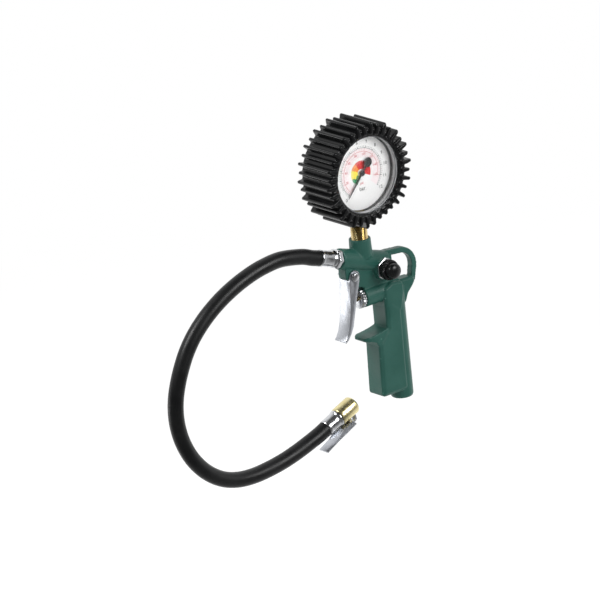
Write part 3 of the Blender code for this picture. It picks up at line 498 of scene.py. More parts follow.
def addLamps(centre, right, up, back):
    # each lamp stands at so much right, up and back of the object, in metres
    for name, settings in lamps.items():
        data = bpy.data.lights.new(name, "AREA")
        data.size = settings["size"]
        data.energy = settings["power"]
        lamp = bpy.data.objects.new(name, data)
        across, height, depth = settings["from"]
        lamp.location = centre + right * across + up * height + back * depth
        lamp.rotation_euler = (centre - lamp.location).to_track_quat("-Z", "Y").to_euler()
        bpy.context.scene.collection.objects.link(lamp)


bpy.context.scene.view_settings.view_transform = "Standard"
centre, right, up, back = addCamera()
addLamps(centre, right, up, back)
addStage(back)
print("camera, stage and lamps are up")


# Hose

hose = {
    "radius": 6.1,
    "route": [                 # mm from the neck
        (-58.0, 1.4), (-77.9, 5.0), (-95.0, 4.0), (-109.0, 1.2), (-123.5, -3.4), (-138.0, -9.8),
        (-152.5, -18.6), (-164.5, -28.6), (-173.4, -39.0), (-180.0, -50.0), (-185.2, -61.5), (-188.9, -73.5),
        (-190.3, -86.0), (-189.2, -99.0), (-185.2, -112.5), (-178.0, -126.0), (-167.0, -138.6),
        (-153.6, -148.0), (-139.0, -153.2), (-124.0, -154.9), (-109.0, -154.2), (-94.0, -152.2),
        (-79.5, -148.9), (-65.0, -144.6)],
    "outletLength": 20.4,      # from the barrel to the hose
    "straight": 6.0,
    "gap": 0.3,
    "sides": 40,
    "spacing": 2.0,
    "colour": (0.0045, 0.0048, 0.0052),
    "mottled": (0.0075, 0.0078, 0.0083),
    "roughness": 0.38,
    "roughnessSpread": 0.06,
    "specular": 0.3,
    "grainScale": 900.0,
    "mottleScale": 60.0,
    "bump": 0.25,
    "bumpDepth": 0.00008,
    "wrapScale": 31.25,        # slanted cloth marks left on the cover
    "wrapWaver": 0.6,
    "wrapDetail": 2.0,
    "wrapBump": 0.12,
    "wrapDepth": 0.00006,
}


def smoothRoute(points, spacing, steps=24):
    # one smooth curve through the points, read off again at even spacing
    path = [Vector(point) for point in points]
    ends = [2 * path[0] - path[1]] + path + [2 * path[-1] - path[-2]]
    fine = []
    for before, start, end, after in zip(ends, ends[1:], ends[2:], ends[3:]):
        for step in range(steps):
            t = step / steps
            bend = 2 * before - 5 * start + 4 * end - after
            twist = 3 * start - before - 3 * end + after
            fine.append(0.5 * (2 * start + (end - before) * t + bend * t ** 2 + twist * t ** 3))
    fine.append(path[-1])
    travelled = [0.0]
    for a, b in zip(fine, fine[1:]):
        travelled.append(travelled[-1] + (b - a).length)
    count = round(travelled[-1] / spacing)
    read, i = [], 0
    for step in range(count + 1):
        goal = travelled[-1] * step / count
        while i < len(fine) - 2 and travelled[i + 1] < goal:
            i += 1
        share = (goal - travelled[i]) / (travelled[i + 1] - travelled[i])
        read.append(fine[i].lerp(fine[i + 1], min(max(share, 0.0), 1.0)))
    return read, travelled[-1]


def hoseRoute():
    outward = Vector(tilted(outletTilt))
    start = outletAxis.translation + outward * hose["outletLength"] * mm
    inward = Vector(tilted(chuckTilt))
    end = chuckAxis.translation - inward * hose["gap"] * mm
    middle = [neckTop + Vector((x * mm, 0.0, z * mm)) for x, z in hose["route"]]
    lead = hose["straight"] * mm
    points = [start, start + outward * lead] + middle + [end - inward * lead, end]
    return smoothRoute(points, hose["spacing"] * mm)


def hoseFinish():
    material, tree, shader = newMaterial("hoseCover", hose)
    grain = groupNode(tree, grainGroup, Grain_Scale=hose["grainScale"], Mottle_Scale=hose["mottleScale"])
    feed(tree, shader["Base Color"], mixColour(tree, grain["Mottle"], hose["colour"], hose["mottled"]))
    spreadRoughness(tree, shader, grain["Mottle"], hose)
    grained = addBump(tree, shader, grain["Height"], hose["bump"], hose["bumpDepth"])
    wave = tree.nodes.new("ShaderNodeTexWave")
    wave.wave_type = "BANDS"
    wave.bands_direction = "DIAGONAL"
    for label, value in (("Vector", placeNode(tree, "UV")), ("Scale", hose["wrapScale"]),
                         ("Distortion", hose["wrapWaver"]), ("Detail", hose["wrapDetail"])):
        feed(tree, wave.inputs[label], value)
    addBump(tree, shader, wave.outputs["Fac"], hose["wrapBump"], hose["wrapDepth"], grained)
    return material


def makeHose():
    points, length = hoseRoute()
    radius, sides = hose["radius"] * mm, hose["sides"]
    bm = bmesh.new()
    uv = bm.loops.layers.uv.new("hoseUV")      # metres round and metres along
    across = Vector((0.0, 1.0, 0.0))
    rings = []
    for i, point in enumerate(points):
        ahead = (points[min(i + 1, len(points) - 1)] - points[max(i - 1, 0)]).normalized()
        outer = across.cross(ahead)
        turns = [math.tau * k / sides for k in range(sides)]
        rings.append([bm.verts.new(point + across * radius * math.cos(turn) + outer * radius * math.sin(turn))
                      for turn in turns])
    along = length / (len(rings) - 1)
    around = math.tau * radius / sides
    for i, (low, high) in enumerate(zip(rings, rings[1:])):
        for k in range(sides):
            face = bm.faces.new((low[k], low[(k + 1) % sides], high[(k + 1) % sides], high[k]))
            spots = ((k, i), (k + 1, i), (k + 1, i + 1), (k, i + 1))
            for loop, (turn, step) in zip(face.loops, spots):
                loop[uv].uv = (turn * around, step * along)
    for ring in (rings[0], rings[-1]):
        bm.faces.new(ring)
    piece = finished("hoseTube", bm, "body", hoseFinish(), ("hose",))
    return piece, points, length


hoseTube, hosePath, hoseLength = makeHose()
print("hose", round(hoseLength, 4), "m")


# Painted casting

casting = {
    "voxel": 0.48,
    "passes": 5,
    "colour": (0.016, 0.077, 0.060),
    "mottled": (0.021, 0.091, 0.072),
    "edgeTone": (0.07, 0.18, 0.15),
    "roughness": 0.40,
    "roughnessSpread": 0.05,
    "specular": 0.3,
    "grainScale": 1300.0,
    "mottleScale": 55.0,
    "bump": 0.22,
    "bumpDepth": 0.00012,
    "edgeStart": 0.52,
    "edgeEnd": 0.60,
}

greenPaint = moulded("greenPaint", casting)
gunCasting = cast("gunCasting", "gun_body", "body", greenPaint, casting)
print("casting", len(gunCasting.data.polygons), "faces")


# Plated and turned metal

brightPlate = {
    "colour": (0.72, 0.73, 0.75),
    "tarnish": (0.61, 0.62, 0.64),
    "metallic": 1.0,
    "roughness": 0.21,
    "roughnessSpread": 0.07,
    "stretch": (1.0, 8.0, 1.0),
    "streakScale": 260.0,
    "bump": 0.06,
    "bumpDepth": 0.00005,
}
wireSteel = {**brightPlate, "colour": (0.5, 0.5, 0.52), "tarnish": (0.4, 0.4, 0.42), "roughness": 0.3}
zincSheet = {
    "colour": (0.61, 0.63, 0.67),
    "tarnish": (0.52, 0.54, 0.58),
    "metallic": 1.0,
    "roughness": 0.34,
    "roughnessSpread": 0.09,
    "stretch": (9.0, 9.0, 0.7),
    "streakScale": 160.0,
    "bump": 0.10,
    "bumpDepth": 0.00008,
}
turnedBrass = {
    "colour": (0.80, 0.66, 0.36),
    "tarnish": (0.68, 0.52, 0.24),
    "metallic": 1.0,
    "roughness": 0.22,
    "roughnessSpread": 0.07,
    "stretch": (1.0, 1.0, 6.0),
    "streakScale": 420.0,
    "bump": 0.08,
    "bumpDepth": 0.00005,
}

chromePlate = metal("chromePlate", brightPlate)
zincPlate = metal("zincPlate", zincSheet)
brassTurned = metal("brassTurned", turnedBrass)
springWire = metal("springWire", wireSteel)


# Rubber and plastic

bootRubber = {
    "voxel": 0.6,
    "passes": 4,
    "colour": (0.0045, 0.0047, 0.005),
    "mottled": (0.0075, 0.0077, 0.0082),
    "edgeTone": (0.026, 0.027, 0.029),
    "roughness": 0.23,
    "roughnessSpread": 0.05,
    "specular": 0.32,
    "grainScale": 1100.0,
    "mottleScale": 90.0,
    "bump": 0.2,
    "bumpDepth": 0.0001,
    "edgeStart": 0.54,
    "edgeEnd": 0.66,
}
knobPlastic = {**bootRubber, "roughness": 0.26, "bump": 0.1}
sealRubber = {**bootRubber, "roughness": 0.6, "bump": 0.3}
redRubber = {**sealRubber, "colour": (0.16, 0.018, 0.02), "mottled": (0.22, 0.028, 0.03),
             "edgeTone": (0.3, 0.06, 0.06)}

blackRubber = moulded("blackRubber", bootRubber)
blackPlastic = moulded("blackPlastic", knobPlastic)
nitrile = moulded("nitrile", sealRubber)
redSeal = moulded("redSeal", redRubber)

bootBack = {"level": -16.4, "rings": (8.0, 24.5, 30.5), "half": 1.1, "depth": 0.6}


def pressGrooves(boot):
    # shallow rings moulded into the boot's flat back
    for vert in boot.data.vertices:
        place = gaugeAxis.inverted() @ vert.co
        if place.z / mm > bootBack["level"]:
            continue
        for ring in bootBack["rings"]:
            near = abs(math.hypot(place.x, place.y) / mm - ring) / bootBack["half"]
            if near < 1.0:
                place.z += bootBack["depth"] * mm * (0.5 + 0.5 * math.cos(math.pi * near))
                vert.co = gaugeAxis @ place


ribbedBoot = cast("ribbedBoot", "gauge_boot", "body", blackRubber, bootRubber)
pressGrooves(ribbedBoot)
print("boot", len(ribbedBoot.data.polygons), "faces")


# Gauge stem with its thread, and the block that carries the gauge movement

stem = {
    "threadR": 6.58,
    "threadDepth": 0.75,
    "threadRound": 0.8,
    "pitch": 1.337,
    "rowsPerPitch": 8,
    "threadEnds": (-11.2, 11.2),
    "shankR": 6.0,
    "top": 28.6,
    "block": (6.5, 4.5, 4.4),      # half sizes
    "blockHeight": 28.7,
    "blockEdge": 0.5,
    "sides": 64,
}


def threadShape(radius, height, angle):
    if radius < stem["threadR"] - 0.01:
        return radius
    phase = (height / stem["pitch"] - angle / math.tau) % 1.0
    return radius - stem["threadDepth"] * (1.0 - abs(2.0 * phase - 1.0)) ** stem["threadRound"]


def makeStem():
    low, high = stem["threadEnds"]
    crest, shank, top = stem["threadR"], stem["shankR"], stem["top"]
    steps = round((high - low) / stem["pitch"] * stem["rowsPerPitch"])
    thread = [(crest, low + (high - low) * i / steps) for i in range(steps + 1)]
    profile = [(0.0, low), (crest - 0.8, low)] + thread
    profile += [(shank - 0.3, high + 0.1), (shank, high + 0.5), (shank, top), (0.0, top)]
    bm = bmesh.new()
    turnedRings(bm, profile, stemAxis, stem["sides"], threadShape)
    wide, deep, tall = stem["block"]
    centre = stemAxis @ Vector((0.0, 0.0, stem["blockHeight"] * mm))
    block = bmesh.ops.create_cube(bm, size=2.0 * mm)["verts"]
    for vert in block:
        vert.co = centre + Vector((vert.co.x * wide, vert.co.y * deep, vert.co.z * tall))
    edges = list({edge for vert in block for edge in vert.link_edges})
    bmesh.ops.bevel(bm, geom=edges, offset=stem["blockEdge"] * mm, segments=2, affect="EDGES")
    return finished("gaugeStem", bm, "body", brassTurned, ("gauge_socket",))


makeStem()


# Outlet: hexagon collar and crimped sleeve

outlet = {"collarR": 7.9, "collarEnd": 5.1, "sleeve": (5.4, 20.1)}
hexagon = {"outerFrom": 5.5, "acrossFlats": 1.02}
sleeve = {"baseR": 6.9, "plainR": 6.4, "innerR": 3.7, "outerFrom": 5.5, "crimp": 0.14, "crimpCount": 8,
          "crimpReach": 0.30, "crimpShift": 0.6}


def hexShape(radius, height, angle):
    # six flats on the outer surfaces, which cut the corners off a circle
    if radius < hexagon["outerFrom"]:
        return radius
    flat = radius * math.cos(math.pi / 6) * hexagon["acrossFlats"]
    turn = (angle + math.pi / 6) % (math.pi / 3) - math.pi / 6
    return min(radius, flat / math.cos(turn))


def crimpedSleeve(name, low, high, baseAtLow, matrix, node):
    # a wider collar at the fitting's end, a crimped middle and a rolled lip round the hose
    span = high - low
    middle = (low + high) / 2 + sleeve["crimpShift"] * (1.0 if baseAtLow else -1.0)
    reach = span * sleeve["crimpReach"]
    inner, base, plain = sleeve["innerR"], sleeve["baseR"], sleeve["plainR"]

    def crimpShape(radius, height, angle):
        # shallow flats pressed in round the middle
        if radius < sleeve["outerFrom"] or abs(height - middle) > reach:
            return radius
        depth = 0.5 + 0.5 * math.cos(math.pi * (height - middle) / reach)
        return radius - sleeve["crimp"] * depth * (0.5 + 0.5 * math.cos(angle * sleeve["crimpCount"]))

    shape = [(inner, 0.0), (base - 0.3, 0.0), (base, 0.3), (base, 1.5), (base - 0.15, 1.8),
             (plain + 0.05, 2.4), (plain, 3.0)]
    shape += [(plain, 3.0 + (span - 5.6) * i / 14) for i in range(1, 15)]
    shape += [(plain + 0.15, span - 1.9), (plain + 0.18, span - 1.2), (plain + 0.05, span - 0.4),
              (plain - 0.25, span), (inner, span)]
    if baseAtLow:
        profile = [(r, low + h) for r, h in shape]
    else:
        profile = [(r, high - h) for r, h in reversed(shape)]
    return turnedPiece(name, profile, matrix, "body", chromePlate, node, shape=crimpShape,
                       closed=True)


def makeOutlet():
    r, end = outlet["collarR"], outlet["collarEnd"]
    collar = [(2.0, -13.0), (4.2, -13.0), (4.2, 0.3), (r - 0.9, 0.3), (r - 0.1, 0.75), (r, 1.1),
              (r, end - 1.2), (r - 0.15, end - 0.8), (6.9, end - 0.15), (6.6, end), (3.4, end), (3.4, 19.1),
              (2.0, 19.1)]
    turnedPiece("outletCollar", collar, outletAxis, "body", chromePlate, "outlet_fitting",
                shape=hexShape, closed=True)
    crimpedSleeve("outletSleeve", *outlet["sleeve"], True, outletAxis, "outlet_ferrule")


makeOutlet()


# Trigger, its screw and the valve's gland nut

trigger = {
    "sheetEdge": (0.38, 3, 24.0),
    "screwEdge": (0.2, 2, 30.0),
    "nutR": 8.0,
    "teeth": 20,
    "toothDepth": 0.45,
    "teethFrom": 7.0,
    "sides": 160,
}

softened("triggerSheet", "trigger", "trigger", zincPlate, trigger["sheetEdge"])
softened("pivotScrew", "trigger_pivot_screw", "body", chromePlate, trigger["screwEdge"])
softened("pivotNut", "trigger_pivot_nut", "body", zincPlate, trigger["screwEdge"])


def toothedShape(radius, height, angle):
    if radius < trigger["teethFrom"]:
        return radius
    return radius - trigger["toothDepth"] * (0.5 + 0.5 * math.cos(angle * trigger["teeth"])) ** 2


def makeGlandNut():
    r = trigger["nutR"]
    head = [(2.05, 5.0), (6.2, 5.0), (r - 1.1, 4.85), (r - 0.4, 4.4), (r, 3.9), (r, 1.2), (r - 0.3, 0.6),
            (r - 0.8, 0.3)]
    shank = [(5.2, 0.3), (5.2, -12.0), (3.2, -12.0), (3.2, -3.0)]
    packing = [(2.05, -3.0), (2.05, -1.6), (3.9, -1.6), (3.9, 0.6), (2.05, 0.6)]
    turnedPiece("glandNut", head + shank + packing, valveAxis, "body", chromePlate,
                "gland_nut", trigger["sides"], toothedShape, closed=True)


makeGlandNut()


# Deflation valve: bright nut, knurled sleeve and domed button

bleed = {
    "sleeve": (10.0, 15.9),
    "sleeveR": 8.0,
    "sleeveBore": 6.3,
    "grooves": 36,
    "grooveDepth": 0.45,
    "groovesFrom": 7.6,
    "sides": 216,
    "buttonR": 6.0,
    "buttonTop": 22.3,
    "domeRise": 3.0,
}


def knurlShape(radius, height, angle):
    if radius < bleed["groovesFrom"]:
        return radius
    return radius - bleed["grooveDepth"] * (0.5 + 0.5 * math.cos(angle * bleed["grooves"]))


def makeBleed():
    low, high = bleed["sleeve"]
    r, bore = bleed["sleeveR"], bleed["sleeveBore"]
    knurl = [(bore, low + 0.5), (r - 0.8, low + 0.5), (r - 0.2, low + 0.8), (r, low + 1.2), (r, high - 1.3),
             (r - 0.3, high - 0.6), (r - 0.8, high), (bore, high)]
    turnedPiece("bleedSleeve", knurl, bleedAxis, "body", blackPlastic, "deflate_sleeve",
                bleed["sides"], knurlShape, closed=True)
    nut = [(3.0, 10.2), (8.5, 10.2), (9.0, 9.9), (9.0, 9.0), (8.6, 8.7), (4.6, 8.7), (4.6, 1.2), (1.7, 1.2),
           (1.7, 2.4), (3.0, 2.4)]
    turnedPiece("bleedNut", nut, bleedAxis, "body", chromePlate, "deflate_valve_body",
                shape=hexShape, closed=True)
    r, top, rise = bleed["buttonR"], bleed["buttonTop"], bleed["domeRise"]
    base = low + 2.9
    dome = [(r * math.cos(math.radians(a)), top - rise + rise * math.sin(math.radians(a)))
            for a in range(10, 90, 8)]
    button = [(0.0, high + 4.4), (1.2, high + 4.4), (1.2, high - 0.6), (2.4, high - 0.6), (2.4, base),
              (r - 0.2, base), (r, base + 0.3)] + dome + [(0.0, top)]
    turnedPiece("bleedButton", button, bleedAxis, "deflate", blackPlastic, "deflate_button")


makeBleed()
print("gun fittings are on")


# Gauge front: bezel, rim, dial plate and lens

gauge = {
    "bezelR": (29.1, 33.1),
    "bezelZ": (14.5, 17.1),
    "rimR": (29.5, 31.8),
    "rimZ": (11.6, 14.5),
    "lensR": 31.8,
    "lensZ": (14.8, 16.1),
    "dialR": 28.9,
    "dialZ": (8.6, 9.2),
    "sides": 160,
}
enamel = {**bootRubber, "colour": (0.95, 0.95, 0.945), "mottled": (0.93, 0.93, 0.925),
          "edgeTone": (0.95, 0.95, 0.945), "roughness": 0.42, "roughnessSpread": 0.04, "bump": 0.05,
          "edgeStart": 0.9, "edgeEnd": 1.0}
# painted reflection: the black rubber gasket is coloured light grey to stand for the bright lens edge
rimReflectionGrey = {**enamel, "colour": (0.56, 0.565, 0.57), "mottled": (0.50, 0.505, 0.51), "roughness": 0.3}
needlePaint = {**enamel, "colour": (0.006, 0.006, 0.0065), "mottled": (0.009, 0.009, 0.0095),
               "roughness": 0.35, "specular": 0.3}
lensPlastic = {
    "colour": (0.96, 0.97, 0.97),
    "roughness": 0.03,
    "ior": 1.46,
    "show": (0.04, 0.5),           # opacity face on and edge on
    "facing": 0.25,
    "grainScale": 120.0,
    "mottleScale": 40.0,
    "smear": (0.01, 0.05),
}


def lensGlass():
    # clear plastic, almost unseen face on and glossier when looked along
    material, tree, shader = newMaterial("clearLens", lensPlastic)
    shader["Transmission Weight"].default_value = 1.0
    shader["IOR"].default_value = lensPlastic["ior"]
    weight = tree.nodes.new("ShaderNodeLayerWeight")
    weight.inputs["Blend"].default_value = lensPlastic["facing"]
    feed(tree, shader["Alpha"], rangeNode(tree, weight.outputs["Facing"], 0.0, 1.0, *lensPlastic["show"]))
    grain = groupNode(tree, grainGroup, Grain_Scale=lensPlastic["grainScale"],
                      Mottle_Scale=lensPlastic["mottleScale"])
    feed(tree, shader["Roughness"], rangeNode(tree, grain["Mottle"], 0.0, 1.0, *lensPlastic["smear"]))
    return material


whiteEnamel = moulded("whiteEnamel", enamel)
# the gasket's light grey is a painted reflection of the lens edge
rimSealReflection = moulded("rimSealReflection", rimReflectionGrey)
blackEnamel = moulded("blackEnamel", needlePaint)
clearLens = lensGlass()


def makeGaugeFront():
    low, high = gauge["bezelZ"]
    inner, outer = gauge["bezelR"]
    bezel = [(inner, high - 0.7), (inner, high - 0.15), (inner + 0.15, high), (inner + 0.5, high),
             (inner + 0.62, high - 0.2), (inner + 0.8, high - 0.2), (inner + 0.92, high), (outer, high),
             (outer, low + 0.3), (outer - 1.0, low + 0.3), (outer - 1.0, high - 0.7)]
    low, high = gauge["rimZ"]
    inner, outer = gauge["rimR"]
    rim = [(inner, low), (inner, low + 0.8), (inner + 0.3, low + 1.0), (inner + 0.3, low + 1.5),
           (inner, low + 1.7), (inner, high - 0.3), (outer, high - 0.3), (outer, low)]
    low, high = gauge["dialZ"]
    r = gauge["dialR"]
    face = [(1.6, low), (1.6, high), (r - 0.5, high), (r - 0.15, high - 0.1), (r, high - 0.25), (r, low)]
    for name, profile, material, slot, node in (
            ("bezelRing", bezel, chromePlate, "zinc_plate", "gauge_bezel"),
            ("lensRim", rim, rimSealReflection, "nitrile", "lens_gasket"),
            ("dialPlate", face, whiteEnamel, "white_enamel", "gauge_dial")):
        turnedPiece(name, profile, gaugeAxis, "body", material, node, gauge["sides"], closed=True)
    low, high = gauge["lensZ"]
    r = gauge["lensR"]
    disc = [(0.0, low), (r - 0.3, low), (r, low + 0.3), (r, high - 0.3), (r - 0.3, high), (0.0, high)]
    turnedPiece("lensDisc", disc, gaugeAxis, "body", clearLens, "gauge_lens", gauge["sides"])


needle = {
    "height": 10.6,
    "angle": 228.0,
    "stations": ((-7.0, 0.9), (-1.5, 1.1), (8.0, 0.9), (22.0, 0.28), (22.4, 0.1)),   # reach and half width
    "ridge": 0.5,
    "shoulder": (0.9, 0.3),    # share of the half width, and height
    "weightR": 3.9,
    "weightAt": 9.5,
    "hubR": 2.3,
}


def makeNeedle():
    # a ridged needle with its counterweight, and the cap over the arbor
    z, hub = needle["height"], needle["hubR"]
    along, side = polar(needle["angle"])
    bm = bmesh.new()
    cap = [(0.0, z - 0.35), (hub - 0.2, z - 0.35), (hub, z), (hub, z + 0.8), (hub - 0.35, z + 1.15),
           (0.0, z + 1.2)]
    turnedRings(bm, cap, gaugeAxis, 48)
    narrow, lift = needle["shoulder"]
    rings = []
    for reach, half in needle["stations"]:
        section = ((half, z), (half * narrow, z + lift), (0.0, z + needle["ridge"]),
                   (-half * narrow, z + lift), (-half, z))
        points = [along * reach + side * across + Vector((0.0, 0.0, up)) for across, up in section]
        rings.append([bm.verts.new(gaugeAxis @ (point * mm)) for point in points])
    joinRows(bm, rings)
    bm.faces.new(rings[0])
    bm.faces.new(rings[-1])
    r = needle["weightR"]
    disc = [(0.0, z), (r - 0.1, z), (r, z + 0.1), (r, z + 0.35), (r - 0.15, z + 0.5), (0.0, z + 0.5)]
    turnedRings(bm, disc, gaugeAxis @ Matrix.Translation(along * -needle["weightAt"] * mm), 64)
    finished("dialNeedle", bm, "pointer", blackEnamel, ("gauge_pointer",))


makeGaugeFront()
makeNeedle()
print("gauge front is on")


# Dial print: coloured ring, pale band, ticks and figures

dialPrint = {
    "lift": 0.03,
    "start": 228.0,            # angle of both zeros, degrees from the dial's right
    "ring": (3.0, 9.6),
    "band": (12.0, 19.0),
    "bandSweep": (-44.0, 230.0),
    "bandColour": (0.90, 0.80, 0.81),
    "zoneStep": 2.5,           # degrees between the points of an arc
    "railStep": 3.0,
    "railHalf": 0.15,
    "shortTick": 0.45,         # share of its length that a tick between figures leaves off
    "thinTick": 0.7,
    "bold": 0.012,
}
inks = {
    "greenInk": ((0.0, 0.30, 0.10), (200.0, 245.0)),
    "yellowInk": ((0.88, 0.74, 0.06), (155.0, 200.0)),
    "orangeInk": ((0.85, 0.26, 0.02), (120.0, 155.0)),
    "redInk": ((0.68, 0.02, 0.02), (-25.0, 120.0)),
}
scales = {                     # step is clockwise degrees for each whole figure, and parts the ticks in it
    "barScale": {"ink": "blackInk", "colour": (0.02, 0.02, 0.022), "slot": "black_enamel", "step": 22.5,
                 "most": 12, "parts": 5, "each": 1, "tick": (19.4, 21.0), "half": 0.24, "figureR": 24.0,
                 "figureSize": 3.5, "word": "bar", "wordAt": -12.6, "wordSize": 4.4},
    "psiScale": {"ink": "scaleRedInk", "colour": (0.55, 0.05, 0.06), "slot": "white_enamel", "step": 31.03,
                 "most": 8, "parts": 4, "each": 20, "tick": (16.7, 19.0), "half": 0.12, "figureR": 14.6,
                 "figureSize": 2.6, "word": "psi", "wordAt": -8.2, "wordSize": 3.0},
}
printLevel = gauge["dialZ"][1] + dialPrint["lift"]
scaleLevel = printLevel + dialPrint["lift"]


def inkOf(name, colour):
    paler = tuple(min(1.0, c * 1.08 + 0.01) for c in colour)
    return moulded(name, {**enamel, "colour": colour, "mottled": paler, "edgeTone": colour, "roughness": 0.45})


def onDial(bm, point, height):
    return bm.verts.new(gaugeAxis @ ((point + Vector((0.0, 0.0, height))) * mm))


def addArc(bm, inner, outer, start, end, step, height):
    rows = []
    count = max(2, round(abs(end - start) / step))
    for i in range(count + 1):
        out, side = polar(start + (end - start) * i / count)
        rows.append([onDial(bm, out * r, height) for r in (inner, outer)])
    joinRows(bm, rows, loop=False)


def zonePiece(name, material, inner, outer, start, end):
    bm = bmesh.new()
    addArc(bm, inner, outer, start, end, dialPrint["zoneStep"], printLevel)
    return finished(name, bm, "body", material)


def addTick(bm, angle, inner, outer, half):
    out, side = polar(angle)
    corners = ((inner, -half), (outer, -half), (outer, half), (inner, half))
    bm.faces.new([onDial(bm, out * reach + side * across, scaleLevel) for reach, across in corners])


def addFigure(bm, text, x, y, size):
    curve = bpy.data.curves.new("figure", "FONT")
    curve.body = text
    curve.size = size * mm
    curve.align_x = "CENTER"
    curve.align_y = "CENTER"
    curve.offset = size * dialPrint["bold"] * mm
    holder = bpy.data.objects.new("figure", curve)
    mesh = bpy.data.meshes.new_from_object(holder)
    mesh.transform(gaugeAxis @ Matrix.Translation(Vector((x, y, scaleLevel)) * mm))
    bm.from_mesh(mesh)
    bpy.data.objects.remove(holder)
    bpy.data.curves.remove(curve)
    bpy.data.meshes.remove(mesh)


def printScale(name, scale):
    # ticks on a thin arc, with longer ones and figures at the whole steps
    bm = bmesh.new()
    start, step, most = dialPrint["start"], scale["step"], scale["most"]
    inner, outer = scale["tick"]
    for i in range(most * scale["parts"] + 1):
        whole = i % scale["parts"] == 0
        low = inner if whole else inner + (outer - inner) * dialPrint["shortTick"]
        half = scale["half"] * (1.0 if whole else dialPrint["thinTick"])
        addTick(bm, start - step * i / scale["parts"], low, outer, half)
    rail = dialPrint["railHalf"]
    addArc(bm, inner - rail, inner + rail, start, start - step * most, dialPrint["railStep"], scaleLevel)
    for i in range(most + 1):
        place = polar(start - step * i)[0] * scale["figureR"]
        addFigure(bm, str(i * scale["each"]), place.x, place.y, scale["figureSize"])
    addFigure(bm, scale["word"], 0.0, scale["wordAt"], scale["wordSize"])
    finished(name, bm, "body", inkOf(scale["ink"], scale["colour"]))


def makeDialPrint():
    for name, (colour, (start, end)) in inks.items():
        zonePiece(name.replace("Ink", "Zone"), inkOf(name, colour), *dialPrint["ring"], start, end)
    bandInk = inkOf("paleBandInk", dialPrint["bandColour"])
    zonePiece("paleBand", bandInk, *dialPrint["band"], *dialPrint["bandSweep"])
    for name, scale in scales.items():
        printScale(name, scale)


makeDialPrint()
print("dial print is on")


# Chuck: crimped sleeve, brass body and thumb lever

chuck = {
    "sleeve": (0.0, 13.7),
    "low": 14.0,
    "mouth": 31.4,
    "radius": 7.2,
    "mouthR": 4.1,
    "boreEnd": 19.4,
    "rearR": 4.3,
    "sides": 120,
    "slot": (25.0, 29.2, 2.6),     # from, to and half width
    "pin": (9.9, 20.0),
    "earHalf": 1.8,
    "leverEdge": (0.22, 2, 30.0),
    "flange": ((2.5, -4.4), (2.7, -19.0), (1.9, -16.5), (0.4, -11.0), (-0.9, -5.5), (-1.3, -2.0),
               (1.2, -2.6)),       # x and z from the pin
    "flangeSides": ((-4.95, -4.25), (4.25, 4.95)),
    "flangeEdge": 0.12,
    "colour": (0.85, 0.76, 0.43),
    "tarnish": (0.76, 0.65, 0.33),
    "metallic": 1.0,
    "roughness": 0.27,
    "roughnessSpread": 0.07,
    "stretch": (1.0, 1.0, 1.0),
    "streakScale": 420.0,
    "bump": 0.06,
    "bumpDepth": 0.00005,
}
chuckBrass = metal("chuckBrass", chuck)


def addSlab(bm, outline, low, high, matrix):
    # an (x, z) outline in millimetres, from low to high across Y
    near, far = [[bm.verts.new(matrix @ Vector((x * mm, y * mm, z * mm))) for x, z in outline]
                 for y in (low, high)]
    bm.faces.new(near)
    bm.faces.new(far)
    joinRows(bm, (near, far))


def carve(piece, outline, half, operation):
    # add or take away a slab, as thick as twice half
    bm = bmesh.new()
    addSlab(bm, outline, -half, half, chuckAxis)
    bmesh.ops.recalc_face_normals(bm, faces=bm.faces)
    mesh = bpy.data.meshes.new("cutter")
    bm.to_mesh(mesh)
    bm.free()
    cutter = bpy.data.objects.new("cutter", mesh)
    bpy.context.scene.collection.objects.link(cutter)
    change = piece.modifiers.new("carve", "BOOLEAN")
    change.operation = operation
    change.solver = "EXACT"
    change.object = cutter
    applied(piece)
    bpy.data.objects.remove(cutter)


def makeChuckBody():
    r, low, mouth, mouthR = chuck["radius"], chuck["low"], chuck["mouth"], chuck["mouthR"]
    rearR, boreEnd = chuck["rearR"], chuck["boreEnd"]
    profile = [(rearR, low), (r - 0.6, low), (r - 0.15, low + 0.35), (r, low + 0.8), (r, low + 3.1),
               (r - 0.22, low + 3.25), (r - 0.22, low + 3.75), (r, low + 3.9), (r, mouth - 2.2),
               (r - 0.25, mouth - 1.5), (r - 1.4, mouth - 0.2), (r - 1.75, mouth), (mouthR + 0.4, mouth),
               (mouthR, mouth - 0.6), (mouthR, boreEnd), (rearR, boreEnd)]
    piece = turnedPiece("chuckBarrel", profile, chuckAxis, "body", chuckBrass, "chuck_body",
                        chuck["sides"], closed=True)
    x, z = chuck["pin"]
    ear = [(r - 1.4, z - 4.2), (x + 0.2, z - 2.2), (x + 1.4, z - 1.2), (x + 1.8, z), (x + 1.4, z + 1.2),
           (x + 0.2, z + 2.2), (r - 1.4, z + 3.0)]
    carve(piece, ear, chuck["earHalf"], "UNION")
    slotLow, slotHigh, half = chuck["slot"]
    inside, outside = mouthR - 0.6, r + 2.0
    slot = [(inside, slotLow), (outside, slotLow), (outside, slotHigh), (inside, slotHigh)]
    carve(piece, slot, half, "DIFFERENCE")
    piece.data.set_sharp_from_angle(angle=sharpAngle)
    return piece


def makeLever():
    # the pressed plate, with a tapering flange along each side
    lever = softened("thumbLever", "chuck_lever", "lever", zincPlate, chuck["leverEdge"])
    pinX, pinZ = chuck["pin"]
    outline = [(pinX + x, pinZ + z) for x, z in chuck["flange"]]
    bm = bmesh.new()
    for inner, outer in chuck["flangeSides"]:
        addSlab(bm, outline, inner, outer, chuckAxis)
    bmesh.ops.bevel(bm, geom=bm.edges[:], offset=chuck["flangeEdge"] * mm, segments=1, affect="EDGES")
    return lever, finished("leverFlanges", bm, "lever", zincPlate)


chuckSleeve = crimpedSleeve("chuckSleeve", *chuck["sleeve"], False, chuckAxis, "chuck_ferrule")
chuckBarrel = makeChuckBody()
thumbLever, leverFlanges = makeLever()
print("chuck is on")
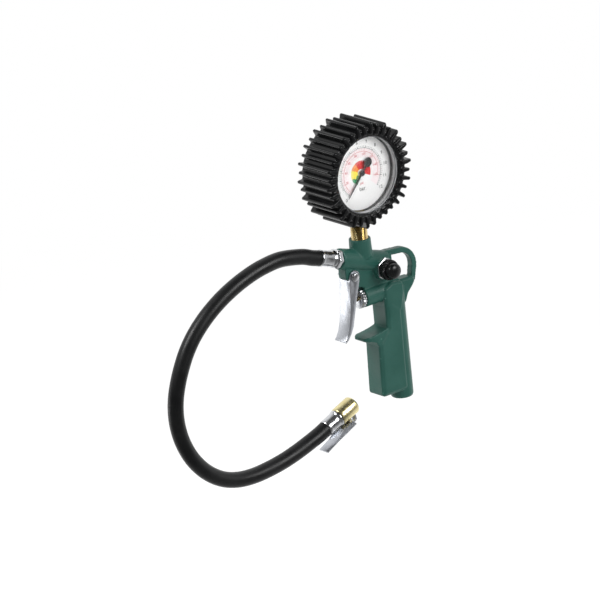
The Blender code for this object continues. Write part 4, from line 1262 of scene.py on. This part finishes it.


# Springs, wound between their fixed and free ends

coilShape = {"stepsPerTurn": 32, "sides": 8}
springs = {
    "valveSpring": {"node": "valve_spring", "axis": valveAxis, "radius": 3.2, "wire": 0.35,
                    "fixed": -30.7, "free": -16.3, "turns": 5, "joint": "valve_slide", "stroke": 3.6},
    "bleedSpring": {"node": "deflate_spring", "axis": bleedAxis, "radius": 1.9, "wire": 0.25,
                    "fixed": 2.9, "free": 14.8, "turns": 5, "joint": "deflate_slide", "stroke": 2.5},
}


def makeSpring(name, settings):
    # a round wire wound into a coil from its fixed end to its free end
    steps, sides = settings["turns"] * coilShape["stepsPerTurn"], coilShape["sides"]
    fixed, free = settings["fixed"], settings["free"]
    rise = Vector((0.0, 0.0, 1.0))
    bm = bmesh.new()
    rings = []
    for i in range(steps + 1):
        out = polar(360.0 * settings["turns"] * i / steps)[0]
        middle = out * settings["radius"] + rise * (fixed + (free - fixed) * i / steps)
        ring = []
        for k in range(sides):
            turn = math.tau * k / sides
            point = middle + (out * math.cos(turn) + rise * math.sin(turn)) * settings["wire"]
            ring.append(bm.verts.new(settings["axis"] @ (point * mm)))
        rings.append(ring)
    joinRows(bm, rings)
    bm.faces.new(rings[0])
    bm.faces.new(rings[-1])
    piece = finished(name, bm, "body", springWire, (settings["node"],))
    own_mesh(piece)


for name, settings in springs.items():
    makeSpring(name, settings)
print(len(springs), "springs are wound")


# Finishes of the CAD pieces that stay as they are

finishes = [
    (zincPlate, ["chuck_lever_pin", "gauge_case"]),
    (redSeal, ["chuck_seal"]),
    (springWire, ["chuck_lever_spring"]),
    (nitrile, ["poppet_seal", "stem_o_ring", "deflate_seal"]),
    (bpy.data.materials["redInk"], ["dial_screw_1"]),
    (bpy.data.materials["yellowInk"], ["dial_screw_2"]),
    (brassTurned, ["chuck_depressor", "chuck_hose_barb", "valve_stem", "deflate_stem", "pinion_arbor",
                   "hairspring", "movement_back_plate", "movement_front_plate", "movement_pillar_1",
                   "movement_pillar_2", "movement_pillar_3", "sector_gear", "bourdon_tube", "bourdon_tip",
                   "tip_link"]),
]


def repaint(node, material):
    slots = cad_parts[node].data.materials
    if not slots:
        slots.append(material)
    for i in range(len(slots)):
        slots[i] = material


for material, nodes in finishes:
    for node in nodes:
        repaint(node, material)
print(sum(len(nodes) for material, nodes in finishes), "pieces repainted")
